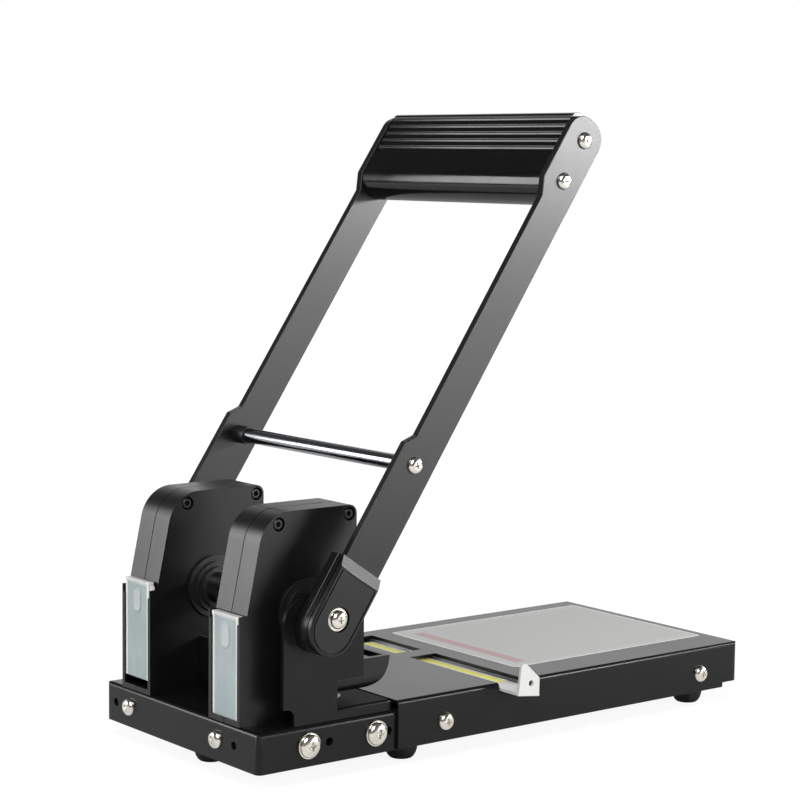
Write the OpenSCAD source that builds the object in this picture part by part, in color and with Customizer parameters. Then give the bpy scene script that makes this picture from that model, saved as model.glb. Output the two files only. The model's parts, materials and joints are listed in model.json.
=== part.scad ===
// Heavy two-hole paper punch: a long lever turns a shaft whose pinions drive two hollow punches
// through a stack of paper lying on the table.
// X runs across the machine, Y runs from the table end to the back, Z is up.
// The origin is on the surface it stands on, under the middle of the rear foot. The pieces are
// drawn about the line of the holes, and at the end of the file each is moved to that origin.

/* [Base] */
// Distance between the two punched holes
hole_spacing = 80; // [76:0.5:84]
// Distance from a hole's centre to the near side of the base
base_side = 29; // [28.5:0.1:33]
// Distance from the line of the holes to the back of the base
base_back = 60; // [58:0.5:64]
// Height of the feet
foot_h = 10; // [7:0.5:14]
// Height of the tray's folded sides
tray_h = 20; // [18:0.5:26]
// Thickness of the tray's sheet
tray_sheet = 2; // [1.5:0.1:2.2]
// Outer radius of the tray's bends
tray_bend = 2.5; // [2.3:0.1:3.5]
// Radius of the tray's upright corners
tray_corner = 3; // [2.5:0.5:6]
// Thickness of the bottom plate
bottom_sheet = 1.5; // [1:0.1:2]
// Height of the bottom plate's upturned lips
lip_h = 15; // [13:0.5:16]

/* [Table] */
// Distance from the line of the holes to the near edge of the table cover
cover_start = 22.7; // [22.4:0.1:25]
// Length of the table cover
cover_l = 241; // [180:1:320]
// Thickness of the cover's sheet
cover_sheet = 1.7; // [1.2:0.1:2]
// Outer radius of the cover's bends
cover_bend = 2; // [2:0.1:3]
// Radius of the cover's far corners
cover_corner = 4; // [3:0.5:8]
// Space between tray and cover, where the ruler slides
ruler_gap = 3.3; // [3:0.1:5]
// How far the cover's skirt stays above the tray's lower edge
skirt_gap = 0.5; // [0.3:0.1:2]
// Length of the raised part of the skirt at the far end
skirt_step_l = 12; // [8:1:16]
// Rise of that part of the skirt
skirt_step_h = 2.5; // [1:0.5:4]
// Width of the ruler windows in the cover
slot_w = 17.5; // [16.8:0.1:24]
// Distance from the line of the holes to the middle of the windows
slot_y = 96.7; // [80:0.1:120]
// How far the open window reaches past the middle of the table
slot_reach = 3; // [0:0.5:6]
// Width of the bar between the two windows
slot_bar = 12; // [8:0.5:16]
// Length of the closed window
slot_closed_l = 44; // [30:1:46]

/* [Ruler] */
// Width of the ruler strip
ruler_w = 15.5; // [12:0.1:16]
// Thickness of the ruler strip and its stop
ruler_t = 1.5; // [1:0.1:1.8]
// How far the stop stands off the side of the table
stop_reach = 12.3; // [11:0.1:20]
// Height of the stop above the strip's underside
stop_h = 16.5; // [13:0.5:22]
// Radius of the stop's hole
stop_hole_r = 1.6; // [1:0.1:2]
// Distance from the middle of the table to the strip's hidden end
ruler_tail = 56; // [50:0.5:57]
// Thickness of the ruler channel's floor
channel_floor = 0.6; // [0.4:0.1:0.8]
// Thickness of the printed scale strip
scale_t = 0.2; // [0.1:0.05:0.3]
// Width of the scale strip
scale_w = 9; // [6:0.5:11]

/* [Side plates] */
// Thickness of the side plates
plate_t = 2.5; // [2:0.1:3]
// Distance from the line of the holes to the plates' front edge
plate_front = 3.7; // [2:0.1:6]
// Distance from the line of the holes to the plates' back edge
plate_back = 44; // [40:0.5:50]
// Height of the plates' top above the shaft
plate_rise = 16.2; // [15:0.1:22]
// Radius of the plates' top corners
plate_corner = 15.5; // [8:0.5:16]
// Distance from the line of the holes to the back of the plates' narrow foot
plate_foot_back = 37.7; // [33:0.1:39]
// Height of the cut in the side plates that the paper passes through
side_throat_h = 15.1; // [12:0.1:20]
// How far the plates' rails lie below the table
rail_drop = 0.7; // [0.3:0.1:1.5]
// Distance from the line of the holes to the rails' front ends
rail_front = 21; // [18:0.5:22]

/* [Bed and bridge] */
// Distance from the line of the holes to the paper stop
paper_stop = 12; // [10:0.5:14]
// Height of the paper throat
throat_h = 6; // [4.5:0.5:8]
// Height of the bridge above the throat
bridge_h = 16; // [14:0.5:18]
// Distance from the line of the holes to the front of the bridge's nose
bridge_front = 22; // [21:0.5:24]
// Distance from the line of the holes to the back of the bridge
bridge_back = 30; // [28:0.5:31]
// Wall of the bridge
bridge_wall = 2.5; // [2:0.1:3]
// Radius of the bridge's lower end edges
bridge_edge = 7; // [3:0.5:8]
// Radius of the cutting discs
disc_r = 8; // [6:0.5:10]
// Thickness of the cutting discs
disc_t = 3; // [2:0.1:4]

/* [Towers] */
// Width of a tower
tower_w = 26.6; // [26:0.1:27.4]
// Distance from the line of the holes to the front of the towers
tower_front = 9; // [8.6:0.1:11]
// Height of the towers above the tray
tower_h = 102; // [98:1:112]
// Wall of the tower shells
tower_wall = 2.5; // [2:0.1:2.8]
// Slope of the towers' upper back from upright
tower_slope = 11.9; // [6:0.1:14]
// Radius of the towers' top back corner
tower_back_r = 18; // [12:0.5:22]
// Radius of the towers' top front corner
tower_front_r = 4.5; // [4:0.1:6]
// Height of the window frame at the towers' backs
frame_h = 53.5; // [50:0.5:58]
// How far the window frame stands out from the sloping back
frame_step = 4.2; // [4.1:0.1:6]

/* [Chip windows] */
// Thickness of the sliding windows
window_t = 2; // [1.5:0.1:2.2]
// Width of the sliding windows
window_w = 24.6; // [24:0.1:24.8]
// Height of the sliding windows
window_h = 50.5; // [44:0.5:50.5]
// Clear width between the frame's lips
window_clear = 20; // [16:0.5:21]
// Depth of the frame's lips
lip_t = 1.4; // [1:0.1:1.6]
// How far the right-hand window is slid up as shown
window_raise = 4.3; // [0:0.1:12]
// Height of the thick band along the window's top
window_band = 3.5; // [2:0.5:6]

/* [Shaft and gears] */
// Height of the shaft's centre above the table
shaft_rise = 47.3; // [45:0.1:54]
// Radius of the shaft
shaft_r = 8; // [6:0.5:8.5]
// Module of the gear teeth
gear_module = 1.25; // [1:0.25:1.25]
// Number of teeth on a pinion
gear_teeth = 20; // [18:1:21]
// Width of the pinions
gear_w = 10; // [8:0.5:11]
// Pressure angle of the teeth
pressure_angle = 20; // [18:0.5:24]
// Play between the teeth along the pitch line
backlash = 0.3; // [0.2:0.05:0.4]
// Distance from a punch's centre to its rack's pitch line
rack_y = 8.8; // [8.4:0.1:10]

/* [Punches] */
// Radius of the punch pins
pin_r = 3; // [2.5:0.25:3]
// Radius of the hole up the punch pins
pin_bore_r = 2.3; // [1.5:0.1:2.4]
// Width of the punch holders
holder_w = 12; // [10:0.5:13]
// Distance from a punch's centre to its holder's front
holder_front = 4.4; // [4.2:0.1:4.6]
// Clear height inside the towers above the punch holders
holder_headroom = 17.2; // [15:0.1:20]
// Depth of a pin's seat in its holder
pin_seat = 12; // [8:0.5:16]
// Turn of the lever that brings the punches down
lever_travel = 48; // [40:1:50]
// Thickness of the guide channels
guide_t = 1.6; // [1:0.1:1.7]
// Clear height inside the towers above the guide channels
guide_headroom = 10.5; // [8.5:0.1:14]
// Radius of the return springs' wire
wire_r = 0.45; // [0.3:0.05:0.45]
// Number of turns in a return spring
spring_turns = 6; // [4:1:7]

/* [Lever] */
// Lean of the lever towards the table at rest
lever_lean = 34; // [25:1:38]
// Thickness of the arms
arm_t = 4.1; // [3:0.1:5]
// Width of the arms' lower part
arm_low_w = 23.2; // [20:0.2:24]
// Width of the arms' upper part
arm_high_w = 18.7; // [15:0.1:19]
// Width of the arms' heads
arm_head_w = 23.4; // [20:0.2:26]
// Length of the arms from shaft to tip
arm_l = 287; // [240:1:320]
// Height of the wide lower part
arm_low_l = 91; // [88:1:110]
// Radius of the arms' tip corners
arm_tip_r = 10; // [6:0.5:10]
// Distance from the shaft to the cross rod
rod_at = 84.4; // [75:0.2:86]
// Radius of the cross rod
rod_r = 4; // [3:0.25:5]
// Length of the collar on the cross rod
collar_l = 9; // [5:0.5:14]

/* [Grip] */
// Length of the grip's section along the arm
grip_l = 50; // [46:0.5:56]
// Thickness of the grip's section
grip_t = 23; // [21:0.5:24]
// Radius of the grip's upper edges
grip_edge = 7; // [4:0.5:9]
// Number of flutes along the grip
flute_count = 6; // [3:1:7]
// Distance between flutes
flute_pitch = 4.5; // [4:0.1:4.8]
// Radius of the flutes
flute_r = 2.4; // [1.8:0.1:2.6]

/* [Hub] */
// Radius of the hub's round end
hub_r = 15.5; // [14:0.5:17]
// Width of the hub at its top
hub_top_w = 25.4; // [25:0.2:28]
// Height of the hub above the shaft
hub_rise = 28; // [24:0.5:32]
// Thickness of the hub's inner part
hub_base_t = 6.1; // [4:0.1:8]
// Thickness of the hub cap over the arm
hub_cap_t = 2.5; // [2:0.1:3.5]

/* [Feet] */
// Radius of the feet
foot_r = 8.5; // [7:0.5:12]
// Radius of the flat that a foot stands on
foot_flat_r = 5; // [4.5:0.5:6.5]

/* [Screws] */
// Radius of the standard pan heads
head_r = 4.6; // [4:0.1:5]
// Height of the standard pan heads
head_h = 3; // [2.4:0.1:3.4]
// Radius of the standard screw shanks
shank_r = 2; // [1.5:0.1:2.4]
// Radius of the large pan heads on the base's sides
big_head_r = 5.8; // [4.8:0.1:6]
// Radius of the washers under the large heads
washer_r = 6.4; // [6.2:0.1:7]
// Thickness of the washers
washer_t = 1; // [0.6:0.1:1.4]

/* [Hidden] */
$fn = 48;

// Clearances and the length by which a cut runs past what it cuts
overrun = 1;
fit = 0.1;
slide_gap = 0.15;
run_gap = 0.05;
swing_gap = 0.4;
seat_gap = 0.3;

// Colours
steel_black = "#1b1c1e";
plastic_black = "#232427";
bright_steel = "#c9ccd0";
grey_steel = "#8b8f94";
milky = "#dfe6e8";

// Heights that the rest is stacked on
tray_top = foot_h + tray_h;
table_z = tray_top + ruler_gap + cover_sheet;
bridge_low = table_z + throat_h;
bridge_top = bridge_low + bridge_h;
shaft_z = table_z + shaft_rise;
tower_top = tray_top + tower_h;
frame_top = tray_top + frame_h;

// Gears
pitch_r = gear_module * gear_teeth / 2;
tooth_pitch = PI * gear_module;
root_depth = gear_module * 1.25;
flank_steps = 4;
base_r = pitch_r * cos(pressure_angle);
tip_r = pitch_r + gear_module;
root_r = pitch_r - root_depth;
tip_angle = sqrt(pow(tip_r / base_r, 2) - 1) * 180 / PI;
half_tooth = (tooth_pitch / 4 - backlash / 4) / pitch_r * 180 / PI;
flank_turn = half_tooth + tan(pressure_angle) * 180 / PI - pressure_angle;
shaft_y = rack_y + pitch_r;
stroke = pitch_r * lever_travel * PI / 180;

// Places across the machine
punch_x = hole_spacing / 2;
half_base = punch_x + base_side;
base_w = 2 * half_base;
plate_out = half_base - tray_sheet - fit;
plate_in = plate_out - plate_t;
side_room = plate_in - punch_x - tower_w / 2;
arm_in = plate_out + swing_gap + hub_base_t;
arm_out = arm_in + arm_t;
cover_w = base_w + 2 * cover_sheet;
cover_end = cover_start + cover_l;
tray_end = cover_end - cover_sheet - fit;

// Small sizes of the base
hole_r = shank_r + fit;
spare_hole_r = 2.1;
screw_rise = 10.4;
screw_z = foot_h + screw_rise;
rear_screw_inset = [22.5, 35.7];
rear_screw_x = [half_base - rear_screw_inset[0], rear_screw_inset[1] - half_base];
rear_spare_inset = [9.5, 20.4];
rear_spare_x = [half_base - rear_spare_inset[0], rear_spare_inset[1] - half_base];
side_screw_y = [30.6, -10];
side_spare_y = [18.2, -17.8];
cover_screw_inset = 30;
cover_screw_y = [-cover_start - cover_screw_inset, cover_screw_inset - cover_end];
skirt_z = foot_h + skirt_gap;
skirt_end = skirt_step_l - cover_end;
bottom_end = skirt_end + fit;
lip_x = half_base - tray_sheet - fit;
lip_y = base_back - tray_sheet - fit;
lip_start = 50;
lip_inset = 5;

// Places of the feet: one at the back, two under the near edge of the table, two at the far end
foot_back = 41;
foot_mid = 40;
foot_side_inset = 18;
foot_side = half_base - foot_side_inset;
foot_end_inset = 20;
foot_places = [[0, foot_back], [foot_side, -foot_mid], [-foot_side, -foot_mid],
  [foot_side, foot_end_inset - cover_end], [-foot_side, foot_end_inset - cover_end]];
foot_head_r = 3.8;
foot_head_h = 2.2;
foot_screw_share = 0.6;

// Small sizes of the ruler
ruler_low = tray_top + channel_floor + slide_gap;
ruler_top = ruler_low + ruler_t;
channel_half = ruler_w / 2 + slide_gap;
channel_wall = 0.8;
channel_half_l = half_base - tray_bend - fit;
stop_x = -cover_w / 2 - stop_reach;
stop_shares = [[0.5, 0], [0.355, 1.2], [-0.5, 0.47], [-0.5, 0]];
stop_radii = [0, 2.3, 0.8, 0];
stop_hole_shares = [-0.05, 0.33];

// Shares of the room between tower and side plate that the bushes' steps and flanges take
bush_step_share = 0.153;
bush_flange_share = 0.18;

// Small sizes of the punch head
foot_relief = 4.2;
plate_waist = 8.7;
bridge_gap = 0.5;
bridge_screw_inset = [22, 6.9];
bridge_screw_x = [punch_x - bridge_screw_inset[0], plate_in - bridge_screw_inset[1]];
bridge_screw_y = (paper_stop + bridge_back) / 2;
bridge_screw_depth = 12;
bridge_half = plate_in - bridge_gap;
guide_base_back = 16;
guide_screw_x = 6.5;
guide_screw_y = 12;
guide_screw_l = 6;
guide_screw_head_r = 2.6;
guide_screw_head_h = 1.6;
guide_screw_r = 1.4;
guide_side_back = 5;
boss_r = 4.2;
counterbore_r = 3.4;
counterbore_depth = 4.2;
socket_r = 1.5;
tower_screw_back = [37.6, 6];
tower_gap = 0.3;
base_boss_r = 4;
base_boss_h = 7;
base_boss_y = 39;
base_screw_x = 6.6;
bush_r = 11;
bush_radii = [16, 13, 10.5];
bush_step = side_room * bush_step_share;
seam_slot = [6, 2.5, 0.6, 0.8];
plate_bush_flange = side_room * bush_flange_share;
plate_bush_r = 13;
gear_hub_r = 11;
gear_hub_w = 4;
gear_pin_r = 1.5;

// The towers' outlines seen from the side: a sloping upper body, and a window frame low at the back
slope_top = base_back - frame_step - (tower_top - frame_top) * tan(tower_slope);
body_points = [[-tower_front, bridge_top], [base_back - frame_step, bridge_top],
  [base_back - frame_step, frame_top], [slope_top, tower_top], [-tower_front, tower_top]];
body_radii = [0, 0, 0, tower_back_r, tower_front_r];
open_below = [for (p = body_points) p[1] > bridge_top ? p : p - [0, tower_wall + fit]];
frame_points = [[bridge_back + tower_gap, tray_top], [base_back, tray_top], [base_back, frame_top],
  [bridge_back + tower_gap, frame_top]];
frame_radii = [0, 0, 0, 0];
screw_front = [-tower_front + tower_front_r, tower_top - tower_front_r];
screw_back = [tower_screw_back[0], tower_top - tower_screw_back[1]];

// Small sizes of the chip windows
window_back = base_back - lip_t;
groove_front = window_back - window_t - 2 * slide_gap;
groove_half = window_w / 2 + slide_gap;
window_low = tray_top + tower_wall + slide_gap;
window_top = window_low + window_h;
band_low = window_top - window_band;
oval_r = 4.2;
oval_l = 2.6;
oval_rise = 0.7;
oval_drop = 9.5;

// Small sizes of the punches
bottom_gap = 0.2;
rack_relief = 6;
pin_tip_rest = table_z + bottom_gap + stroke;
holder_low = shaft_z - rack_relief;
holder_h = tower_top - tower_wall - holder_headroom - holder_low;
guide_h = tower_top - tower_wall - guide_headroom - bridge_top;
chip_bore_r = 3.3;
tip_bevel = 1.2;
set_screw_r = 1.5;
set_screw_l = 2.8;
spring_r = 3.85;
spring_low = bridge_top + guide_t;
coil_steps = 16;
coil_sides = 6;

// Small sizes of the lever
flat_r = 6;
flat_half = 4.5;
hub_screw_r = 2.5;
arm_step_l = 6.4;
jog_drop = 50;
jog_l = 9;
rod_back = 0.3;
collar_wall = 0.8;
grip_over = 1;
grip_low = arm_l + grip_over - grip_l;
grip_screw_drops = [11.3, 36];
grip_screw_z = [for (d = grip_screw_drops) arm_l - d];
grip_screw_back = -0.7;
flute_sink = 1.2;
lever_screw_r = 2;
lever_screw_l = 12;
lever_head_r = 4.3;
lever_head_h = 2.6;
hub_groove_w = 0.6;
hub_groove_depth = 0.4;
hub_groove_inset = 2.4;
hub_recess_r = 6.2;
hub_recess_depth = 1.4;
hub_bevel = 3.5;
hub_blend = 0.05;
hub_seat = arm_out + hub_cap_t - hub_recess_depth;

// Shares of a pan head's radius or height: its dome, and the width, length and depth of its recess
dome_share = 1.5;
recess_w_share = 0.24;
recess_l_share = 1.1;
recess_depth_share = 0.5;

// Basic shapes

// A block between two corners
module block(x0, x1, y0, y1, z0, z1) {
  translate([x0, y0, z0]) cube([x1 - x0, y1 - y0, z1 - z0]);
}

// An outline drawn in Y and Z, pushed along X
module along_x(x0, x1) {
  translate([x0, 0, 0]) rotate([90, 0, 90]) linear_extrude(x1 - x0) children();
}

// An outline drawn in X and Z, pushed along Y
module along_y(y0, y1) {
  translate([0, y1, 0]) rotate([90, 0, 0]) linear_extrude(y1 - y0) children();
}

// Round bars along X, Y and Z
module rod_x(r, x0, x1, y = 0, z = 0) {
  translate([x0, y, z]) rotate([0, 90, 0]) cylinder(r = r, h = x1 - x0);
}

module rod_y(r, y0, y1, x = 0, z = 0) {
  translate([x, y1, z]) rotate([90, 0, 0]) cylinder(r = r, h = y1 - y0);
}

module rod_z(r, z0, z1, x = 0, y = 0) {
  translate([x, y, z0]) cylinder(r = r, h = z1 - z0);
}

// The same piece on both sides of the middle
module both_sides() {
  children();
  mirror([1, 0, 0]) children();
}

// A rectangle given by its edges
function box_points(x0, x1, y0, y1) = [[x0, y0], [x1, y0], [x1, y1], [x0, y1]];

// Rounded corners of a convex outline: where the arc's centre lies, and where it meets the edges
function unit(v) = v / norm(v);
function edge_in(p, i) = unit(p[(i + len(p) - 1) % len(p)] - p[i]);
function edge_out(p, i) = unit(p[(i + 1) % len(p)] - p[i]);
function half_angle(p, i) = acos(edge_in(p, i) * edge_out(p, i)) / 2;
function arc_centre(p, i, r) = p[i] + unit(edge_in(p, i) + edge_out(p, i)) * r / sin(half_angle(p, i));
function arc_ends(p, i, r) = r > 0
  ? [p[i] + edge_in(p, i) * r / tan(half_angle(p, i)), p[i] + edge_out(p, i) * r / tan(half_angle(p, i))]
  : [p[i]];
function inset(p, d) = [for (i = [0:len(p) - 1]) arc_centre(p, i, d)];

// A convex outline with a radius at each corner
module rounded(p, radii) {
  polygon([for (i = [0:len(p) - 1]) each arc_ends(p, i, radii[i])]);
  for (i = [0:len(p) - 1]) if (radii[i] > 0) translate(arc_centre(p, i, radii[i])) circle(r = radii[i]);
}

// The outer form of a folded box: bent top edges and rounded upright corners
module box_form(w, y0, y1, z0, z1, bend, corner) {
  intersection() {
    along_y(y0, y1) rounded(box_points(-w / 2, w / 2, z0, z1), [0, 0, bend, bend]);
    along_x(-w / 2, w / 2) rounded(box_points(y0, y1, z0, z1), [0, 0, bend, bend]);
    translate([0, 0, z0]) linear_extrude(z1 - z0)
      rounded(box_points(-w / 2, w / 2, y0, y1), [corner, corner, corner, corner]);
  }
}

// A folded sheet box, open below
module folded_box(w, y0, y1, z0, z1, sheet, bend, corner) {
  difference() {
    box_form(w, y0, y1, z0, z1, bend, corner);
    box_form(w - 2 * sheet, y0 + sheet, y1 - sheet, z0 - overrun, z1 - sheet,
      max(bend - sheet, 0), max(corner - sheet, sheet / 2));
  }
}

// Pan-head screw with a cross recess, its head standing on zero and its shank below
module pan_screw(r, h, shank, l) {
  dome_r = dome_share * r;
  recess_w = recess_w_share * r;
  recess_l = recess_l_share * r;
  low = h - recess_depth_share * h;
  difference() {
    union() {
      intersection() {
        cylinder(r = r, h = h);
        translate([0, 0, h - dome_r]) sphere(r = dome_r);
      }
      translate([0, 0, -l]) cylinder(r = shank, h = l + h / 2);
    }
    block(-recess_w / 2, recess_w / 2, -recess_l / 2, recess_l / 2, low, h + overrun);
    block(-recess_l / 2, recess_l / 2, -recess_w / 2, recess_w / 2, low, h + overrun);
  }
}

// Screws whose heads face along +X, +Y or -Z
module screw_x(x, y, z, r, h, shank, l) {
  translate([x, y, z]) rotate([0, 90, 0]) pan_screw(r, h, shank, l);
}

module screw_y(x, y, z, r, h, shank, l) {
  translate([x, y, z]) rotate([-90, 0, 0]) pan_screw(r, h, shank, l);
}

module screw_down(x, y, z, r, h, shank, l) {
  translate([x, y, z]) rotate([180, 0, 0]) pan_screw(r, h, shank, l);
}

// Base

// Holes through the side walls at a list of places
module side_holes(places, r) {
  for (y = places) rod_x(r, -cover_w, cover_w, y, screw_z);
}

// The raised lower edge at the table's far end
module skirt_step() {
  block(-cover_w, cover_w, -cover_end - overrun, skirt_end, 0, skirt_z + skirt_step_h);
}

module base_tray() {
  color(steel_black) difference() {
    folded_box(base_w, -tray_end, base_back, foot_h, tray_top, tray_sheet, tray_bend, tray_corner);
    for (x = rear_screw_x) rod_y(hole_r, base_back - 2 * tray_sheet, base_back + overrun, x, screw_z);
    for (x = rear_spare_x) rod_y(spare_hole_r, base_back - 2 * tray_sheet, base_back + overrun, x, screw_z);
    side_holes(side_screw_y, hole_r);
    side_holes(side_spare_y, spare_hole_r);
    side_holes(cover_screw_y, hole_r);
    both_sides() {
      block(plate_in - fit, lip_x + fit, -rail_front - fit, plate_foot_back + fit,
        tray_top - tray_sheet - overrun, tray_top + overrun);
      for (x = bridge_screw_x) rod_z(hole_r, foot_h, tray_top + overrun, x, bridge_screw_y);
      for (s = [-1, 1]) rod_z(hole_r, foot_h, tray_top + overrun, punch_x + s * base_screw_x, base_boss_y);
    }
    skirt_step();
  }
}

module bottom_plate() {
  color(steel_black) difference() {
    union() {
      translate([0, 0, foot_h]) linear_extrude(bottom_sheet)
        rounded(box_points(-lip_x, lip_x, bottom_end, lip_y), [0, 0, tray_corner, tray_corner]);
      both_sides() block(lip_x - bottom_sheet, lip_x, bottom_end, -lip_start, foot_h, foot_h + lip_h);
      block(lip_inset - lip_x, lip_x - lip_inset, lip_y - bottom_sheet, lip_y, foot_h, foot_h + lip_h);
    }
    both_sides() for (y = cover_screw_y) rod_x(shank_r, 0, cover_w, y, screw_z);
    for (x = rear_screw_x) rod_y(shank_r, lip_y - 2 * bottom_sheet, lip_y + overrun, x, screw_z);
    for (x = rear_spare_x) rod_y(spare_hole_r, lip_y - 2 * bottom_sheet, lip_y + overrun, x, screw_z);
    for (p = foot_places) rod_z(shank_r, foot_h - overrun, foot_h + lip_h, p[0], p[1]);
  }
}

module table_cover() {
  slot_near = -slot_y + slot_w / 2;
  slot_far = -slot_y - slot_w / 2;
  under = table_z - cover_sheet - ruler_gap;
  color(steel_black) difference() {
    folded_box(cover_w, -cover_end, cover_corner + cover_sheet, skirt_z, table_z,
      cover_sheet, cover_bend, cover_corner);
    block(-cover_w, cover_w, -cover_start, base_back, 0, table_z + overrun);
    skirt_step();
    block(-cover_w, slot_reach, slot_far, slot_near, under, table_z + overrun);
    block(slot_reach + slot_bar, slot_reach + slot_bar + slot_closed_l, slot_far, slot_near, under,
      table_z + overrun);
    side_holes(cover_screw_y, hole_r);
  }
}

module feet() {
  color("#161616") for (p = foot_places) translate([p[0], p[1], 0]) difference() {
    intersection() {
      cylinder(r = foot_r, h = foot_h);
      cylinder(r1 = foot_flat_r, r2 = foot_flat_r + foot_h, h = foot_h);
    }
    rod_z(hole_r, (1 - foot_screw_share) * foot_h - overrun, foot_h + overrun);
  }
}

// The feet are held from inside the base, so their undersides are plain
module foot_screws() {
  color(bright_steel) for (p = foot_places) translate([p[0], p[1], foot_h + bottom_sheet])
    pan_screw(foot_head_r, foot_head_h, shank_r - fit, bottom_sheet + foot_screw_share * foot_h);
}

module rear_screws() {
  color(bright_steel) for (x = rear_screw_x)
    screw_y(x, base_back, screw_z, head_r, head_h, shank_r - fit, 3 * tray_sheet);
}

module side_screws() {
  color(bright_steel) both_sides() for (y = side_screw_y)
    screw_x(half_base + washer_t, y, screw_z, big_head_r, head_h, shank_r - fit,
      washer_t + 2 * tray_sheet + plate_t);
}

module side_washers() {
  color(bright_steel) both_sides() for (y = side_screw_y) difference() {
    rod_x(washer_r, half_base, half_base + washer_t, y, screw_z);
    rod_x(hole_r, half_base - overrun, half_base + washer_t + overrun, y, screw_z);
  }
}

module cover_screws() {
  color(bright_steel) both_sides() for (y = cover_screw_y)
    screw_x(cover_w / 2, y, screw_z, head_r, head_h, shank_r - fit, 3 * (cover_sheet + bottom_sheet));
}

// Ruler

module ruler_channel() {
  half_l = channel_half_l;
  color(grey_steel) difference() {
    block(-half_l, half_l, -slot_y - channel_half - channel_wall, -slot_y + channel_half + channel_wall,
      tray_top, tray_top + ruler_gap - fit);
    block(-half_l - overrun, half_l + overrun, -slot_y - channel_half, -slot_y + channel_half,
      tray_top + channel_floor, table_z);
  }
}

// The strip and, folded up at its end, a stop with an upright near edge and a sloping far edge
module ruler() {
  hole_y = stop_hole_shares[0] * ruler_w - slot_y;
  hole_z = stop_hole_shares[1] * stop_h + ruler_low;
  color("#eef0ee") union() {
    block(stop_x, ruler_tail, -slot_y - ruler_w / 2, -slot_y + ruler_w / 2, ruler_low, ruler_top);
    difference() {
      along_x(stop_x - ruler_t, stop_x) translate([-slot_y, ruler_low])
        rounded([for (s = stop_shares) [s[0] * ruler_w, s[1] * stop_h]], stop_radii);
      rod_x(stop_hole_r, stop_x - 2 * ruler_t, stop_x + ruler_t, hole_y, hole_z);
    }
  }
}

module scale_strip() {
  color("#e8e04a") block(-cover_w / 2, ruler_tail - overrun, -slot_y - scale_w / 2, -slot_y + scale_w / 2,
    ruler_top, ruler_top + scale_t);
}

// Punch head

module bed_plate() {
  color(grey_steel) difference() {
    block(-plate_in + fit, plate_in - fit, -rail_front, bridge_back, tray_top, table_z);
    both_sides() {
      rod_z(disc_r + run_gap, table_z - disc_t, table_z + overrun, punch_x, 0);
      for (x = bridge_screw_x) rod_z(hole_r, tray_top - overrun, table_z + overrun, x, bridge_screw_y);
    }
  }
}

module cutting_discs() {
  color("#d8d4c4") both_sides() rod_z(disc_r, table_z - disc_t, table_z, punch_x, 0);
}

module side_plate() {
  low = foot_h + bottom_sheet + overrun;
  waist = tray_top + plate_waist;
  top = shaft_z + plate_rise;
  rail = table_z - rail_drop;
  relief_y = plate_foot_back + foot_relief;
  difference() {
    along_x(plate_in, plate_out) difference() {
      union() {
        rounded(box_points(-plate_front, plate_back, waist, top), [0, 0, plate_corner, plate_corner]);
        polygon(box_points(-rail_front, plate_foot_back, low, waist + plate_corner));
        polygon(box_points(0, relief_y, waist - foot_relief, waist + plate_corner));
      }
      translate([relief_y, waist - foot_relief]) circle(r = foot_relief);
      polygon(box_points(-rail_front - overrun, paper_stop, rail, rail + side_throat_h));
      polygon(box_points(-rail_front - overrun, -plate_front, rail, top));
    }
    rod_x(bush_r + run_gap, plate_in - overrun, plate_out + overrun, shaft_y, shaft_z);
    for (y = side_screw_y) rod_x(shank_r, plate_in - overrun, plate_out + overrun, y, screw_z);
    for (y = side_spare_y) rod_x(spare_hole_r, plate_in - overrun, plate_out + overrun, y, screw_z);
  }
}

module side_plate_right() { color(steel_black) side_plate(); }
module side_plate_left() { color(steel_black) mirror([1, 0, 0]) side_plate(); }

// The bridge's outline: a quarter-round nose, a flat underside over the paper, the paper stop behind
module bridge_outline(wall) {
  nose_r = bridge_h - wall;
  intersection() {
    translate([-bridge_front + bridge_h, bridge_top]) circle(r = nose_r);
    polygon(box_points(-bridge_front, -bridge_front + bridge_h, bridge_low, bridge_top));
  }
  polygon(box_points(-bridge_front + bridge_h - overrun, bridge_back - wall, bridge_low + wall, bridge_top));
}

module punch_bridge() {
  tower_half = tower_w / 2 + tower_gap;
  color(plastic_black) difference() {
    union() {
      intersection() {
        along_x(-bridge_half, bridge_half) bridge_outline(0);
        along_y(-bridge_front - overrun, bridge_back + overrun)
          rounded(box_points(-bridge_half, bridge_half, bridge_low, bridge_top),
            [bridge_edge, bridge_edge, 0, 0]);
      }
      block(-bridge_half + bridge_edge, bridge_half - bridge_edge, paper_stop, bridge_back, table_z,
        bridge_low + bridge_edge);
    }
    intersection() {
      translate([0, 0, overrun]) along_x(-bridge_half + bridge_wall, bridge_half - bridge_wall)
        bridge_outline(bridge_wall);
      block(-base_w, base_w, -bridge_front, -tower_front - bridge_wall, bridge_low,
        bridge_top + 2 * overrun);
    }
    block(-punch_x + tower_half, punch_x - tower_half, -tower_front, bridge_back - bridge_wall,
      bridge_low + 2 * bridge_wall, bridge_top + overrun);
    both_sides() {
      rod_z(pin_r + run_gap, bridge_low - overrun, bridge_top + overrun, punch_x, 0);
      for (x = bridge_screw_x)
        rod_z(shank_r, table_z - overrun, table_z + bridge_screw_depth, x, bridge_screw_y);
      for (s = [-1, 1]) rod_z(guide_screw_r, bridge_top - guide_screw_l, bridge_top + overrun,
        punch_x + s * guide_screw_x, guide_screw_y);
    }
  }
}

module bridge_screws() {
  color(bright_steel) both_sides() for (x = bridge_screw_x)
    screw_down(x, bridge_screw_y, tray_top - tray_sheet, head_r, head_h, shank_r - fit,
      table_z - tray_top + tray_sheet + bridge_screw_depth - overrun);
}

// Towers

function thinner(radii, d) = [for (r = radii) max(r - d, 0)];

module tower_outline() {
  rounded(body_points, body_radii);
  rounded(frame_points, frame_radii);
}

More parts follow.
